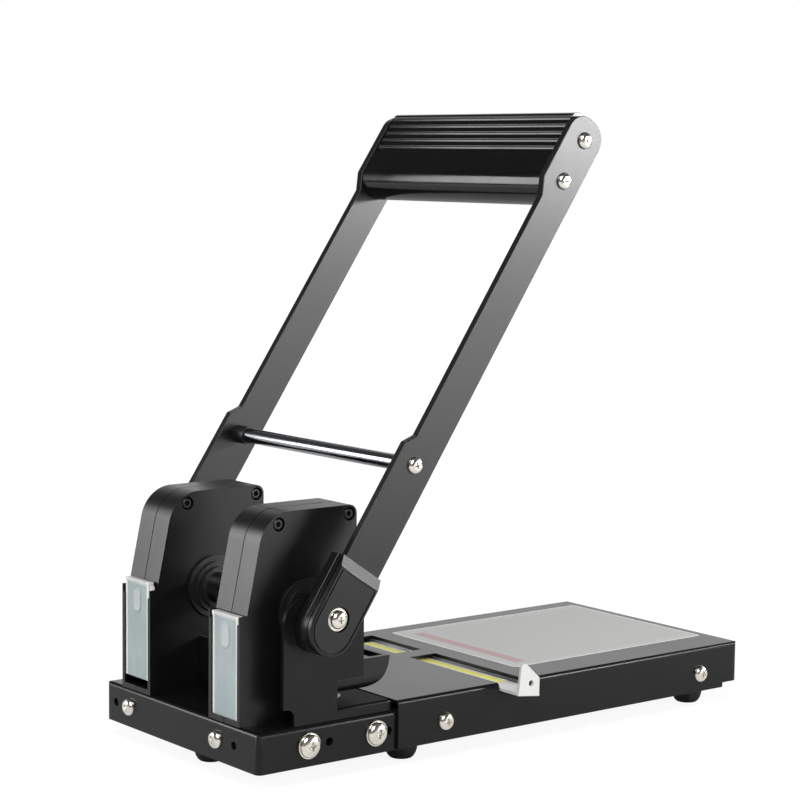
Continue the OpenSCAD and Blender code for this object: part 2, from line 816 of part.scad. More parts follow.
// The hollow inside: its upper part is open below, where the tower stands on the bridge
module tower_hollow() {
  rounded(inset(open_below, tower_wall), thinner(body_radii, tower_wall));
  rounded(inset(frame_points, tower_wall), frame_radii);
}

// Half of a tower, from its seam at zero outwards to its side at half the tower's width.
// The screws enter the half that faces -X, and thread into the other.
module tower_half(takes_heads) {
  half = tower_w / 2;
  side = half - tower_wall;
  difference() {
    union() {
      difference() {
        along_x(0, half) tower_outline();
        along_x(-overrun, side) tower_hollow();
      }
      intersection() {
        along_x(0, half) tower_outline();
        union() {
          rod_x(boss_r, 0, half, screw_front[0], screw_front[1]);
          rod_x(boss_r, 0, half, screw_back[0], screw_back[1]);
          rod_z(base_boss_r, tray_top, tray_top + base_boss_h, base_screw_x, base_boss_y);
        }
      }
    }
    rod_x(bush_r + run_gap, side - overrun, half + overrun, shaft_y, shaft_z);
    block(-overrun, groove_half, groove_front, window_back, window_low, frame_top + overrun);
    block(-overrun, window_clear / 2, groove_front, base_back + overrun, window_low, frame_top + overrun);
    block(-overrun, groove_half, groove_front, base_back + overrun, band_low - slide_gap,
      frame_top + overrun);
    block(-overrun, seam_slot[2], seam_slot[1], seam_slot[1] + seam_slot[0], tower_top - seam_slot[3],
      tower_top + overrun);
    for (p = [screw_front, screw_back]) {
      rod_x(shank_r, -overrun, takes_heads ? half : side, p[0], p[1]);
      if (takes_heads) rod_x(counterbore_r, half - counterbore_depth, half + overrun, p[0], p[1]);
    }
    rod_z(shank_r, tray_top - overrun, tray_top + base_boss_h - overrun, base_screw_x, base_boss_y);
  }
}

// The half whose side faces -X and the half whose side faces +X, at a tower's place
module tower_minus(x) { color(plastic_black) translate([x, 0, 0]) mirror([1, 0, 0]) tower_half(true); }
module tower_plus(x) { color(plastic_black) translate([x, 0, 0]) tower_half(false); }

module tower_left_outer() { tower_minus(-punch_x); }
module tower_left_inner() { tower_plus(-punch_x); }
module tower_right_inner() { tower_minus(punch_x); }
module tower_right_outer() { tower_plus(punch_x); }

module tower_screws() {
  head_seat = tower_w / 2 - counterbore_depth;
  color("#2c2d30") for (x = [-punch_x, punch_x], p = [screw_front, screw_back])
    translate([x, 0, 0]) difference() {
      union() {
        rod_x(counterbore_r - fit * 2, -head_seat - counterbore_depth + overrun, -head_seat, p[0], p[1]);
        rod_x(shank_r - fit, -head_seat - fit, head_seat - tower_wall, p[0], p[1]);
      }
      rod_x(socket_r, -tower_w, -head_seat - overrun, p[0], p[1]);
    }
}

module tower_base_screws() {
  color(bright_steel) for (x = [-punch_x, punch_x], s = [-1, 1])
    screw_down(x + s * base_screw_x, base_boss_y, tray_top - tray_sheet, head_r, head_h, shank_r - fit,
      tray_sheet + base_boss_h - 2 * overrun);
}

// Sliding window: a milky plate with a thick band along its top and a raised oval to push with
module chip_window(raise) {
  oval_z = window_top - oval_drop;
  color(milky) translate([0, 0, raise]) union() {
    block(-window_w / 2, window_w / 2, window_back - slide_gap - window_t, window_back - slide_gap,
      window_low, window_top);
    block(-window_w / 2, window_w / 2, window_back - slide_gap - window_t, base_back - slide_gap,
      band_low, window_top);
    difference() {
      along_y(window_back - window_t, window_back + oval_rise) {
        for (z = [oval_z, oval_z - oval_l]) translate([0, z]) circle(r = oval_r);
        polygon(box_points(-oval_r, oval_r, oval_z - oval_l, oval_z));
      }
      along_y(window_back + slide_gap, window_back + 2 * oval_rise) {
        for (z = [oval_z, oval_z - oval_l]) translate([0, z]) circle(r = oval_r - oval_rise);
        polygon(box_points(oval_rise - oval_r, oval_r - oval_rise, oval_z - oval_l, oval_z));
      }
    }
  }
}

module chip_window_left() { translate([-punch_x, 0, 0]) chip_window(0); }
module chip_window_right() { translate([punch_x, 0, 0]) chip_window(window_raise); }

// Punch mechanism

module guide_channel() {
  inner = holder_w / 2 + slide_gap;
  front_in = -holder_front - slide_gap;
  base_half = tower_w / 2 - tower_wall - tower_gap;
  color(bright_steel) difference() {
    union() {
      block(-inner - guide_t, inner + guide_t, front_in - guide_t, guide_side_back, bridge_top,
        bridge_top + guide_h);
      block(-base_half, base_half, front_in - guide_t, guide_base_back, bridge_top, bridge_top + guide_t);
    }
    block(-inner, inner, front_in, base_back, bridge_top + guide_t, bridge_top + guide_h + overrun);
    rod_z(pin_r + fit, bridge_top - overrun, bridge_top + 2 * guide_t, 0, 0);
    for (s = [-1, 1]) rod_z(guide_screw_r + fit, bridge_top - overrun, bridge_top + 2 * guide_t,
      s * guide_screw_x, guide_screw_y);
  }
}

module guide_channel_left() { translate([-punch_x, 0, 0]) guide_channel(); }
module guide_channel_right() { translate([punch_x, 0, 0]) guide_channel(); }

module channel_screws() {
  color(bright_steel) for (x = [-punch_x, punch_x], s = [-1, 1])
    translate([x + s * guide_screw_x, guide_screw_y, bridge_top + guide_t])
      pan_screw(guide_screw_head_r, guide_screw_head_h, guide_screw_r - fit, guide_screw_l);
}

// A straight rack: teeth centred half a pitch either side of the shaft's height, pointing along +Y
module rack_outline(low, high) {
  rise = gear_module + root_depth;
  tip = tooth_pitch / 4 - backlash / 4 - gear_module * tan(pressure_angle);
  foot = tip + rise * tan(pressure_angle);
  first = ceil((low - shaft_z + foot) / tooth_pitch - 1 / 2);
  last = floor((high - shaft_z - foot) / tooth_pitch - 1 / 2);
  for (i = [first:last]) translate([rack_y, shaft_z + (i + 1 / 2) * tooth_pitch])
    polygon([[-root_depth - fit, -foot], [-root_depth, -foot], [gear_module, -tip], [gear_module, tip],
      [-root_depth, foot], [-root_depth - fit, foot]]);
}

module punch_holder() {
  color(grey_steel) difference() {
    along_x(-holder_w / 2, holder_w / 2) {
      polygon(box_points(-holder_front, rack_y - root_depth, holder_low, holder_low + holder_h));
      rack_outline(holder_low, holder_low + holder_h);
    }
    rod_z(pin_r, holder_low - overrun, holder_low + pin_seat, 0, 0);
    rod_z(chip_bore_r, holder_low + pin_seat - fit, holder_low + holder_h + overrun, 0, 0);
    rod_x(set_screw_r, pin_r - overrun, holder_w, 0, holder_low + pin_seat / 2);
  }
}

module punch_holder_left() { translate([-punch_x, 0, 0]) punch_holder(); }
module punch_holder_right() { translate([punch_x, 0, 0]) punch_holder(); }

// A hollow pin: ground to a cutting edge at its tip, open to the top for the chips
module punch_pin() {
  color(bright_steel) difference() {
    rod_z(pin_r, pin_tip_rest, holder_low + pin_seat - fit);
    rod_z(pin_bore_r, pin_tip_rest - overrun, holder_low + pin_seat + overrun);
    translate([0, 0, pin_tip_rest]) difference() {
      cylinder(r = pin_r + overrun, h = tip_bevel);
      cylinder(r1 = pin_bore_r + fit, r2 = pin_r, h = tip_bevel);
    }
  }
}

module punch_pin_left() { translate([-punch_x, 0, 0]) punch_pin(); }
module punch_pin_right() { translate([punch_x, 0, 0]) punch_pin(); }

module pin_set_screw() {
  color("#2c2d30") difference() {
    rod_x(set_screw_r - run_gap, pin_r + run_gap, pin_r + set_screw_l, 0, holder_low + pin_seat / 2);
    rod_x(set_screw_r / 2, pin_r + set_screw_l / 2, pin_r + 2 * set_screw_l, 0, holder_low + pin_seat / 2);
  }
}

module pin_set_screw_left() { translate([-punch_x, 0, 0]) pin_set_screw(); }
module pin_set_screw_right() { translate([punch_x, 0, 0]) pin_set_screw(); }

// Wire wound about Z in one unbroken tube
module coil(mean_r, r, z0, z1, turns) {
  steps = turns * coil_steps;
  rise = (z1 - z0 - 2 * r) / steps;
  points = [for (i = [0:steps], k = [0:coil_sides - 1])
    let (a = i * 360 / coil_steps, b = k * 360 / coil_sides, out = mean_r + r * cos(b))
      [out * cos(a), out * sin(a), z0 + r + i * rise + r * sin(b)]];
  walls = [for (i = [0:steps - 1], k = [0:coil_sides - 1])
    let (j = (k + 1) % coil_sides, n = i * coil_sides, m = n + coil_sides) each
      [[n + k, n + j, m + j], [n + k, m + j, m + k]]];
  ends = [[for (k = [coil_sides - 1:-1:0]) k], [for (k = [0:coil_sides - 1]) steps * coil_sides + k]];
  polyhedron(points = points, faces = [for (f = concat(walls, ends)) [for (i = [len(f) - 1:-1:0]) f[i]]]);
}

module return_spring() {
  color(bright_steel) coil(spring_r, wire_r, spring_low + run_gap, holder_low - run_gap, spring_turns);
}

module return_spring_left() { translate([-punch_x, 0, 0]) return_spring(); }
module return_spring_right() { translate([punch_x, 0, 0]) return_spring(); }

// Involute teeth: a flank point at unwinding angle t, in degrees, on a base circle of radius b
function unwound(b, t) = b * [cos(t) + t * PI / 180 * sin(t), sin(t) - t * PI / 180 * cos(t)];
function turned(p, a) = [p[0] * cos(a) - p[1] * sin(a), p[0] * sin(a) + p[1] * cos(a)];
function flipped(p) = [p[0], -p[1]];

flank = concat([turned([root_r, 0], -flank_turn)],
  [for (i = [0:flank_steps]) turned(unwound(base_r, tip_angle * i / flank_steps), -flank_turn)]);
tooth = concat(flank, [for (i = [len(flank) - 1:-1:0]) flipped(flank[i])]);

// Pinion seen from the side, one tooth pointing at the rack
module gear_outline() {
  polygon([for (n = [0:gear_teeth - 1]) each [for (p = tooth) turned(p, 180 + n * 360 / gear_teeth)]]);
}

module pinion(x, side) {
  hub_out = x + side * (gear_w / 2 + gear_hub_w);
  pin_x = x + side * (gear_w + gear_hub_w) / 2;
  color(grey_steel) difference() {
    union() {
      along_x(x - gear_w / 2, x + gear_w / 2) translate([shaft_y, shaft_z]) gear_outline();
      rod_x(gear_hub_r, min(x, hub_out), max(x, hub_out), shaft_y, shaft_z);
    }
    rod_x(shaft_r + run_gap, x - base_w, x + base_w, shaft_y, shaft_z);
    rod_z(gear_pin_r + run_gap, shaft_z - base_w, shaft_z + base_w, pin_x, shaft_y);
  }
}

module pinion_left() { pinion(-punch_x, -1); }
module pinion_right() { pinion(punch_x, 1); }

module pinion_pins() {
  pin_x = punch_x + (gear_w + gear_hub_w) / 2;
  color(bright_steel) for (x = [-pin_x, pin_x])
    rod_z(gear_pin_r, shaft_z - gear_hub_r + fit, shaft_z + gear_hub_r - fit, x, shaft_y);
}

// The shaft's ends have two flats that turn the arms with it
module shaft_end(gap) {
  intersection() {
    circle(r = flat_r + gap);
    polygon(box_points(-flat_half - gap, flat_half + gap, -flat_r - overrun, flat_r + overrun));
  }
}

module drive_shaft() {
  pin_x = punch_x + (gear_w + gear_hub_w) / 2;
  color(bright_steel) difference() {
    union() {
      rod_x(shaft_r, -arm_in + fit, arm_in - fit, shaft_y, shaft_z);
      along_x(-arm_out + fit, arm_out - fit) translate([shaft_y, shaft_z]) rotate(lever_lean) shaft_end(0);
    }
    both_sides() rod_x(hub_screw_r, arm_in - 3 * hub_base_t, arm_out, shaft_y, shaft_z);
    for (x = [-pin_x, pin_x]) rod_z(gear_pin_r + run_gap, shaft_z - base_w, shaft_z + base_w, x, shaft_y);
  }
}

// Bushes that carry the shaft through the tower walls: a sleeve and a stepped flange outside
module tower_bush() {
  sleeve_in = tower_w / 2 - tower_wall - seat_gap;
  face = tower_w / 2;
  difference() {
    union() {
      rod_x(bush_r, sleeve_in, face, shaft_y, shaft_z);
      for (i = [0:len(bush_radii) - 1])
        rod_x(bush_radii[i], face, face + (i + 1) * bush_step, shaft_y, shaft_z);
    }
    rod_x(shaft_r + run_gap, 0, base_w, shaft_y, shaft_z);
  }
}

module tower_bushes() {
  color("#303134") for (x = [-punch_x, punch_x]) {
    translate([x, 0, 0]) tower_bush();
    translate([x, 0, 0]) mirror([1, 0, 0]) tower_bush();
  }
}

module plate_bushes() {
  color("#303134") both_sides() difference() {
    union() {
      rod_x(bush_r, plate_in - fit, plate_out, shaft_y, shaft_z);
      rod_x(plate_bush_r, plate_in - plate_bush_flange, plate_in, shaft_y, shaft_z);
    }
    rod_x(shaft_r + run_gap, 0, base_w, shaft_y, shaft_z);
  }
}

// Lever: every piece is drawn upright about the shaft and then leant over

module leaned() {
  translate([0, shaft_y, shaft_z]) rotate([lever_lean, 0, 0]) children();
}

module arm_outline() {
  low = arm_low_w / 2;
  high = arm_high_w - low;
  head = arm_head_w / 2;
  jog_low = arm_l - jog_drop;
  head_low = jog_low + jog_l;
  circle(r = low);
  polygon([[-low, 0], [low, 0], [low, arm_low_l], [high, arm_low_l + arm_step_l], [high, jog_low],
    [head, head_low], [head, arm_l - arm_tip_r], [-head, arm_l - arm_tip_r], [-head, head_low],
    [-low, jog_low]]);
  rounded(box_points(-head, head, head_low, arm_l), [0, 0, arm_tip_r, arm_tip_r]);
}

module lever_arm() {
  leaned() difference() {
    along_x(arm_in, arm_out) arm_outline();
    along_x(arm_in - overrun, arm_out + overrun) shaft_end(run_gap);
    rod_x(lever_screw_r + fit, arm_in - overrun, arm_out + overrun, rod_back, rod_at);
    for (z = grip_screw_z)
      rod_x(lever_screw_r + fit, arm_in - overrun, arm_out + overrun, grip_screw_back, z);
  }
}

module lever_arm_right() { color(steel_black) lever_arm(); }
module lever_arm_left() { color(steel_black) mirror([1, 0, 0]) lever_arm(); }

module cross_rod() {
  color(bright_steel) leaned() difference() {
    rod_x(rod_r, -arm_in, arm_in, rod_back, rod_at);
    both_sides() rod_x(lever_screw_r, arm_in - lever_screw_l, arm_in + overrun, rod_back, rod_at);
  }
}

module rod_collar() {
  color("#3a3b3e") leaned() difference() {
    rod_x(rod_r + collar_wall, arm_in - collar_l, arm_in, rod_back, rod_at);
    rod_x(rod_r + run_gap, 0, base_w, rod_back, rod_at);
  }
}

module lever_screw(z, y) {
  screw_x(arm_out, y, z, lever_head_r, lever_head_h, lever_screw_r - fit, arm_t + lever_screw_l - overrun);
}

module rod_screws() { color(bright_steel) leaned() both_sides() lever_screw(rod_at, rod_back); }

module grip_screws() {
  color(bright_steel) leaned() both_sides() for (z = grip_screw_z) lever_screw(z, grip_screw_back);
}

// Grip: one section all along, round below, flatter above, with flutes down its back
module grip() {
  top = grip_low + grip_l;
  half = grip_t / 2;
  low_r = half - fit;
  first = top - grip_edge / 2;
  color("#0f1012") leaned() difference() {
    along_x(-arm_in, arm_in) difference() {
      rounded(box_points(-half, half, grip_low, top), [low_r, low_r, grip_edge, grip_edge]);
      for (i = [0:flute_count - 1])
        translate([half + flute_r - flute_sink, first - i * flute_pitch]) circle(r = flute_r);
    }
    both_sides() for (z = grip_screw_z)
      rod_x(lever_screw_r, arm_in - lever_screw_l, arm_in + overrun, grip_screw_back, z);
  }
}

// Hub

// Outline about the shaft: a round end whose sides run on up the arm
module hub_outline(d) {
  r = hub_r - d;
  w = hub_top_w / 2 - d;
  h = hub_rise - d;
  touch = atan2(h, w) - acos(r / norm([w, h]));
  meet = (r - hub_blend) * [cos(touch), sin(touch)];
  circle(r = r);
  polygon([[w, h], [-w, h], [-meet[0], meet[1]], meet]);
}

module hub_base() {
  leaned() difference() {
    along_x(plate_out + swing_gap, arm_in) hub_outline(0);
    rod_x(shaft_r + run_gap, 0, cover_w, 0, 0);
  }
}

module hub_base_right() { color(plastic_black) hub_base(); }
module hub_base_left() { color(plastic_black) mirror([1, 0, 0]) hub_base(); }

// Cap: a skirt round the arm and a face over it, with a bevelled top, an inset line and a screw recess
module hub_cap() {
  out = arm_out + hub_cap_t;
  leaned() difference() {
    along_x(arm_in, out) hub_outline(0);
    along_x(arm_in - overrun, arm_out) {
      circle(r = arm_low_w / 2 + fit);
      polygon(box_points(-arm_low_w / 2 - fit, arm_low_w / 2 + fit, 0, hub_rise + overrun));
    }
    along_y(-cover_w, cover_w) polygon([[arm_out, hub_rise], [out, hub_rise - hub_bevel],
      [out + overrun, hub_rise - hub_bevel], [out + overrun, hub_rise + overrun],
      [arm_out, hub_rise + overrun]]);
    along_x(out - hub_groove_depth, out + overrun) difference() {
      hub_outline(hub_groove_inset);
      hub_outline(hub_groove_inset + hub_groove_w);
    }
    rod_x(hub_recess_r, out - hub_recess_depth, out + overrun, 0, 0);
    rod_x(hub_screw_r + fit, arm_in, out + overrun, 0, 0);
  }
}

module hub_cap_right() { color(plastic_black) hub_cap(); }
module hub_cap_left() { color(plastic_black) mirror([1, 0, 0]) hub_cap(); }

module hub_washers() {
  color(bright_steel) leaned() both_sides() difference() {
    rod_x(hub_recess_r - 2 * seat_gap, hub_seat, hub_seat + washer_t / 2, 0, 0);
    rod_x(hub_screw_r + fit, 0, cover_w, 0, 0);
  }
}

module hub_screws() {
  color(bright_steel) leaned() both_sides() screw_x(hub_seat + washer_t / 2, 0, 0, head_r, head_h,
    hub_screw_r - fit, hub_cap_t + arm_t + 2 * hub_base_t);
}

// Moves a piece from the line of the holes to the origin under the rear foot
module placed() { translate([0, -foot_back, 0]) children(); }

placed() base_tray();
placed() bottom_plate();
placed() table_cover();
placed() ruler_channel();
placed() ruler();
placed() scale_strip();
placed() bed_plate();
placed() cutting_discs();
placed() side_plate_left();
placed() side_plate_right();
placed() punch_bridge();
placed() tower_left_outer();
placed() tower_left_inner();
placed() tower_right_inner();
placed() tower_right_outer();
placed() chip_window_left();
placed() chip_window_right();
placed() guide_channel_left();
placed() guide_channel_right();
placed() punch_holder_left();
placed() punch_holder_right();
placed() punch_pin_left();
placed() punch_pin_right();
placed() pin_set_screw_left();
placed() pin_set_screw_right();
placed() return_spring_left();
placed() return_spring_right();
placed() drive_shaft();
placed() pinion_left();
placed() pinion_right();
placed() pinion_pins();
placed() tower_bushes();
placed() plate_bushes();
placed() lever_arm_left();
placed() lever_arm_right();
placed() cross_rod();
placed() rod_collar();
placed() rod_screws();
placed() grip();
placed() grip_screws();
placed() hub_base_left();
placed() hub_base_right();
placed() hub_cap_left();
placed() hub_cap_right();
placed() hub_screws();
placed() hub_washers();
placed() rear_screws();
placed() side_screws();
placed() side_washers();
placed() cover_screws();
placed() bridge_screws();
placed() channel_screws();
placed() tower_screws();
placed() tower_base_screws();
placed() feet();
placed() foot_screws();
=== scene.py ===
"""Looks of a heavy two-hole paper punch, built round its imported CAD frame."""

import json
import math

import bmesh
import bpy
from mathutils import Matrix, Vector


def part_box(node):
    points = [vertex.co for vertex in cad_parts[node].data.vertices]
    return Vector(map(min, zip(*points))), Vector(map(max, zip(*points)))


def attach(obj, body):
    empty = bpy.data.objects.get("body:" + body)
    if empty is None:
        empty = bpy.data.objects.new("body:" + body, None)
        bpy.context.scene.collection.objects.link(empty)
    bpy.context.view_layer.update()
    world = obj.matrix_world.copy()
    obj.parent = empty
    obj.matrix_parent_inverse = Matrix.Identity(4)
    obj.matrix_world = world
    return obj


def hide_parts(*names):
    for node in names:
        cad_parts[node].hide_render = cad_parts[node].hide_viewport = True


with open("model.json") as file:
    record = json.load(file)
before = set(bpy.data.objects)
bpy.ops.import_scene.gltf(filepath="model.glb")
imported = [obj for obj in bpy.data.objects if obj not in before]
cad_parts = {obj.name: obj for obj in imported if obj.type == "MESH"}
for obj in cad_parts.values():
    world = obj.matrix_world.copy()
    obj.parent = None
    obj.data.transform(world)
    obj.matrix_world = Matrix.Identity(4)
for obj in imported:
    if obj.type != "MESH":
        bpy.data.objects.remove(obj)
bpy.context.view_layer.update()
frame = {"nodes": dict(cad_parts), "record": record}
NODES = frame["nodes"]
BODY_OF = {
    node: body
    for body, members in frame["record"]["behaviour"]["bodies"].items()
    for node in members
}
SLOT_OF = {part["node"]: part["material_slot"] for part in frame["record"]["subparts"]}

MM = 0.001
SCENE = bpy.context.scene
LEAN = math.radians(34)  # of the lever at rest, towards the user
WELD = 0.002 * MM  # points nearer than this become one
FLAT = math.radians(0.4)  # faces that meet at less than this become one


def middle(node):
    low, high = (Vector(corner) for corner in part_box(node))
    return (low + high) / 2


HOLES_Y = middle("cutting_discs").y
SLOT_Y = middle("scale_strip").y
RULE_Y = SLOT_Y - 1.5 * MM  # the middle of the printed rule
PUNCH_X = middle("chip_window_right").x
SHAFT = middle("drive_shaft")
COVER_LOW, COVER_HIGH = (Vector(corner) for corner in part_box("table_cover"))
PANEL = (
    COVER_LOW.x + 22.7 * MM, COVER_HIGH.x - 12.7 * MM, COVER_LOW.y + 6.7 * MM, SLOT_Y - 21.3 * MM
)
FIELD_HALF = 10.85 * MM  # half the width that a chip window shows between the lips
YELLOW_HALF = 2.7 * MM  # half the width of the rule's yellow band
BAND_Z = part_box("chip_window_left")[1][2] - 2.0 * MM  # where the left-hand window's top band begins
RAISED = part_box("chip_window_right")[1][2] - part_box("chip_window_left")[1][2]


# Shader maths


class Wire:
    """A socket of a finish. Sums and products written on it add their Math nodes."""

    def __init__(self, graph, socket):
        self.graph = graph
        self.socket = socket

    def maths(self, operation, *others):
        values = dict(enumerate([self, *others]))
        return self.graph.node("ShaderNodeMath", {"operation": operation}, values)

    def __add__(self, other):
        return self.maths("ADD", other)

    def __sub__(self, other):
        return self.maths("SUBTRACT", other)

    def __rsub__(self, other):
        return self.maths("MULTIPLY_ADD", -1.0, other)

    def __mul__(self, other):
        return self.maths("MULTIPLY", other)

    def __truediv__(self, other):
        return self.maths("DIVIDE", other)

    def __mod__(self, other):
        return self.maths("FLOORED_MODULO", other)

    def __gt__(self, other):
        return self.maths("GREATER_THAN", other)

    def __lt__(self, other):
        return self.maths("LESS_THAN", other)

    def __abs__(self):
        return self.maths("ABSOLUTE")

    __radd__ = __add__
    __rmul__ = __mul__

    def either(self, other):
        return self.maths("MAXIMUM", other)

    def fade(self, low, high, start=0.0, end=1.0):
        """Runs smoothly from start to end as this value runs from low to high."""
        values = {"Value": self, "From Min": low, "From Max": high, "To Min": start, "To Max": end}
        return self.graph.node("ShaderNodeMapRange", {"interpolation_type": "SMOOTHSTEP"}, values)

    def inside(self, low, high):
        """1 where this value lies between low and high, 0 elsewhere."""
        return (self > low) * (self < high)


class Graph:
    """The nodes of one material or of the world."""

    def __init__(self, owner):
        owner.use_nodes = True
        self.tree = owner.node_tree
        self.tree.nodes.clear()

    def put(self, node, key, value):
        socket = node.inputs[key]
        if isinstance(value, Wire):
            self.tree.links.new(value.socket, socket)
            return
        if socket.type == "RGBA":
            value = (*value, 1.0)
        socket.default_value = value

    def node(self, kind, settings, values, output=0):
        """Adds any node: its settings come first, then its sockets' values or links."""
        made = self.tree.nodes.new(kind)
        for key, value in settings.items():
            setattr(made, key, value)
        for key, value in values.items():
            self.put(made, key, value)
        return None if output is None else Wire(self, made.outputs[output])

    def parts(self, vector):
        """The three numbers of a vector."""
        made = self.tree.nodes.new("ShaderNodeSeparateXYZ")
        self.put(made, 0, vector)
        return [Wire(self, made.outputs[i]) for i in range(3)]

    def rays(self, kind):
        return self.node("ShaderNodeLightPath", {}, {}, kind)


class Finish(Graph):
    """One procedural material, made node by node round a Principled shader."""

    def __init__(self, name, **constants):
        self.material = bpy.data.materials.new(name)
        super().__init__(self.material)
        self.shader = self.tree.nodes.new("ShaderNodeBsdfPrincipled")
        output = self.tree.nodes.new("ShaderNodeOutputMaterial")
        self.tree.links.new(self.shader.outputs["BSDF"], output.inputs["Surface"])
        for key, value in constants.items():
            self.put(self.shader, key.replace("_", " "), value)
        self.place = self.node("ShaderNodeTexCoord", {}, {}, "Object")

    def __setitem__(self, key, value):
        self.put(self.shader, key, value)

    def axes(self):
        """The three parts of the place on the piece, in metres."""
        return self.parts(self.place)

    def stretched(self, x, y, z):
        values = {0: self.place, 1: (x, y, z)}
        return self.node("ShaderNodeVectorMath", {"operation": "MULTIPLY"}, values)

    def noise(self, scale, detail=3.0, rough=0.55, at=None):
        values = {"Vector": at or self.place, "Scale": scale, "Detail": detail, "Roughness": rough}
        return self.node("ShaderNodeTexNoise", {}, values, "Fac")

    def blend(self, amount, first, second):
        """Mixes two colours."""
        return self.node("ShaderNodeMix", {"data_type": "RGBA"}, {0: amount, 6: first, 7: second}, 2)

    def bump(self, height, depth, strength=1.0, under=None):
        values = {"Height": height, "Distance": depth, "Strength": strength}
        if under is not None:
            values["Normal"] = under
        return self.node("ShaderNodeBump", {}, values)


# Finishes


def powder_coat(name, colour, rough, gloss):
    """Baked powder coat: faint orange peel, slightly uneven gloss, a few specks of dust."""
    f = Finish(name, Specular_IOR_Level=gloss)
    peel = f.noise(1300, 2.0, 0.5)
    cloud = f.noise(16, 4.0, 0.62)
    dust = f.noise(2100, 1.0, 0.4).fade(0.73, 0.80)
    paint = f.blend(cloud, colour, [c * 1.7 for c in colour])
    f["Base Color"] = f.blend(dust * 0.15, paint, (0.06, 0.06, 0.058))
    f["Roughness"] = rough + (cloud - 0.5) * 0.10 + (peel - 0.5) * 0.03
    f["Normal"] = f.bump(peel, 0.000006, 0.12)
    return f.material


def moulded_black(name, colour, rough, gloss=0.5):
    """Satin moulding: fine lengthwise drag marks and a spark-eroded grain."""
    f = Finish(name, Specular_IOR_Level=gloss)
    drag = f.noise(1.0, 3.0, 0.6, f.stretched(2400, 60, 60))
    grain = f.noise(2200, 2.0, 0.5)
    cloud = f.noise(20, 3.0, 0.6)
    f["Base Color"] = f.blend(cloud, colour, [c * 1.8 for c in colour])
    f["Roughness"] = rough + (drag - 0.5) * 0.16 + (grain - 0.5) * 0.05
    f["Normal"] = f.bump(drag, 0.00003, 0.22, f.bump(grain, 0.00001, 0.25))
    return f.material


def glossy_black(name):
    """Polished moulding of the grip, with faint handling smears."""
    f = Finish(name, Specular_IOR_Level=0.25)
    smear = f.noise(34, 4.0, 0.62)
    fine = f.noise(900, 2.0, 0.5)
    f["Base Color"] = f.blend(smear, (0.002, 0.002, 0.0024), (0.005, 0.005, 0.0055))
    f["Roughness"] = smear.fade(0.35, 0.75, 0.10, 0.20)
    f["Normal"] = f.bump(fine, 0.000004, 0.4)
    return f.material


def plated(name, colour, rough, scratch=0.5, metal=1.0):
    """Plated or polished metal with fine turning marks and small stains."""
    f = Finish(name, Metallic=metal)
    fine = f.noise(1600, 3.0, 0.6)
    stain = f.noise(240, 3.0, 0.6)
    f["Base Color"] = f.blend(stain.fade(0.45, 0.75), colour, [c * 0.80 for c in colour])
    f["Roughness"] = rough + (fine - 0.5) * 0.10 + stain.fade(0.5, 0.8) * 0.06
    f["Normal"] = f.bump(fine, 0.000004, scratch)
    return f.material


def drawn_bar(name, colour, rough):
    """Polished round bar with lengthwise drawing lines."""
    f = Finish(name, Metallic=1.0)
    lines = f.noise(1.0, 3.0, 0.6, f.stretched(40, 2600, 2600))
    stain = f.noise(70, 3.0, 0.6)
    f["Base Color"] = f.blend(stain, colour, [c * 0.84 for c in colour])
    f["Roughness"] = rough + (lines - 0.5) * 0.16
    f["Normal"] = f.bump(lines, 0.00001, 0.5)
    return f.material


def zinc_sheet(name):
    """Dull zinc plate with rolled streaks and bloom."""
    f = Finish(name, Metallic=1.0)
    rolled = f.noise(1.0, 3.0, 0.6, f.stretched(900, 40, 900))
    bloom = f.noise(90, 4.0, 0.6)
    f["Base Color"] = f.blend(bloom, (0.42, 0.43, 0.45), (0.62, 0.63, 0.64))
    f["Roughness"] = bloom.fade(0.3, 0.8, 0.34, 0.55)
    f["Normal"] = f.bump(rolled, 0.00001, 0.5)
    return f.material


def milky(name):
    """Translucent window moulding, cloudy in the middle, with painted glow at its edges and top band.
    """
    f = Finish(
        name, Subsurface_Weight=0.25, Subsurface_Radius=(1, 1, 1), Subsurface_Scale=0.001, IOR=1.49
    )
    x, _, z = f.axes()
    from_edge = FIELD_HALF - abs(abs(x) - PUNCH_X)
    cloud = f.noise(55, 4.0, 0.6, f.stretched(1, 1, 0.4))
    grain = f.noise(700, 2.0, 0.5)
    body = f.blend(cloud.fade(0.3, 0.75), (0.25, 0.30, 0.305), (0.34, 0.385, 0.385))
    # Painted glow: the colour lightens within 2 mm of the lips, standing in for light leaving the
    # edges.
    lit = from_edge.fade(1.2 * MM, 2.0 * MM, 1.0, 0.0)
    up = z - (x > 0) * RAISED
    # Painted glow over the top band, standing in for light leaving the window's top.
    crown = up.fade(BAND_Z - 1 * MM, BAND_Z + 1.5 * MM)
    # Painted highlight: over the thumb pad the colour is lightened, standing in for light on the pad.
    pad = from_edge.fade(FIELD_HALF - 3.6 * MM, FIELD_HALF - 2.0 * MM)
    pad = pad * up.fade(BAND_Z - 15 * MM, BAND_Z - 12 * MM)
    pad = pad * up.fade(BAND_Z - 4 * MM, BAND_Z - 2 * MM, 1, 0)
    body = f.blend(pad * 0.5, body, (0.50, 0.52, 0.51))
    # The painted glow of the lips and the top band is mixed into the colour here.
    f["Base Color"] = f.blend(lit.either(crown * 0.6), body, (0.66, 0.645, 0.635))
    f["Roughness"] = 0.28 + (grain - 0.5) * 0.10 + cloud * 0.08
    f["Normal"] = f.bump(grain, 0.000006, 0.4)
    return f.material


def white_paint(name):
    f = Finish(name)
    peel = f.noise(900, 2.0, 0.5)
    soil = f.noise(60, 4.0, 0.6)
    f["Base Color"] = f.blend(soil.fade(0.5, 0.85), (0.58, 0.58, 0.56), (0.50, 0.50, 0.475))
    f["Roughness"] = 0.38 + (peel - 0.5) * 0.10
    f["Normal"] = f.bump(peel, 0.000006, 0.4)
    return f.material


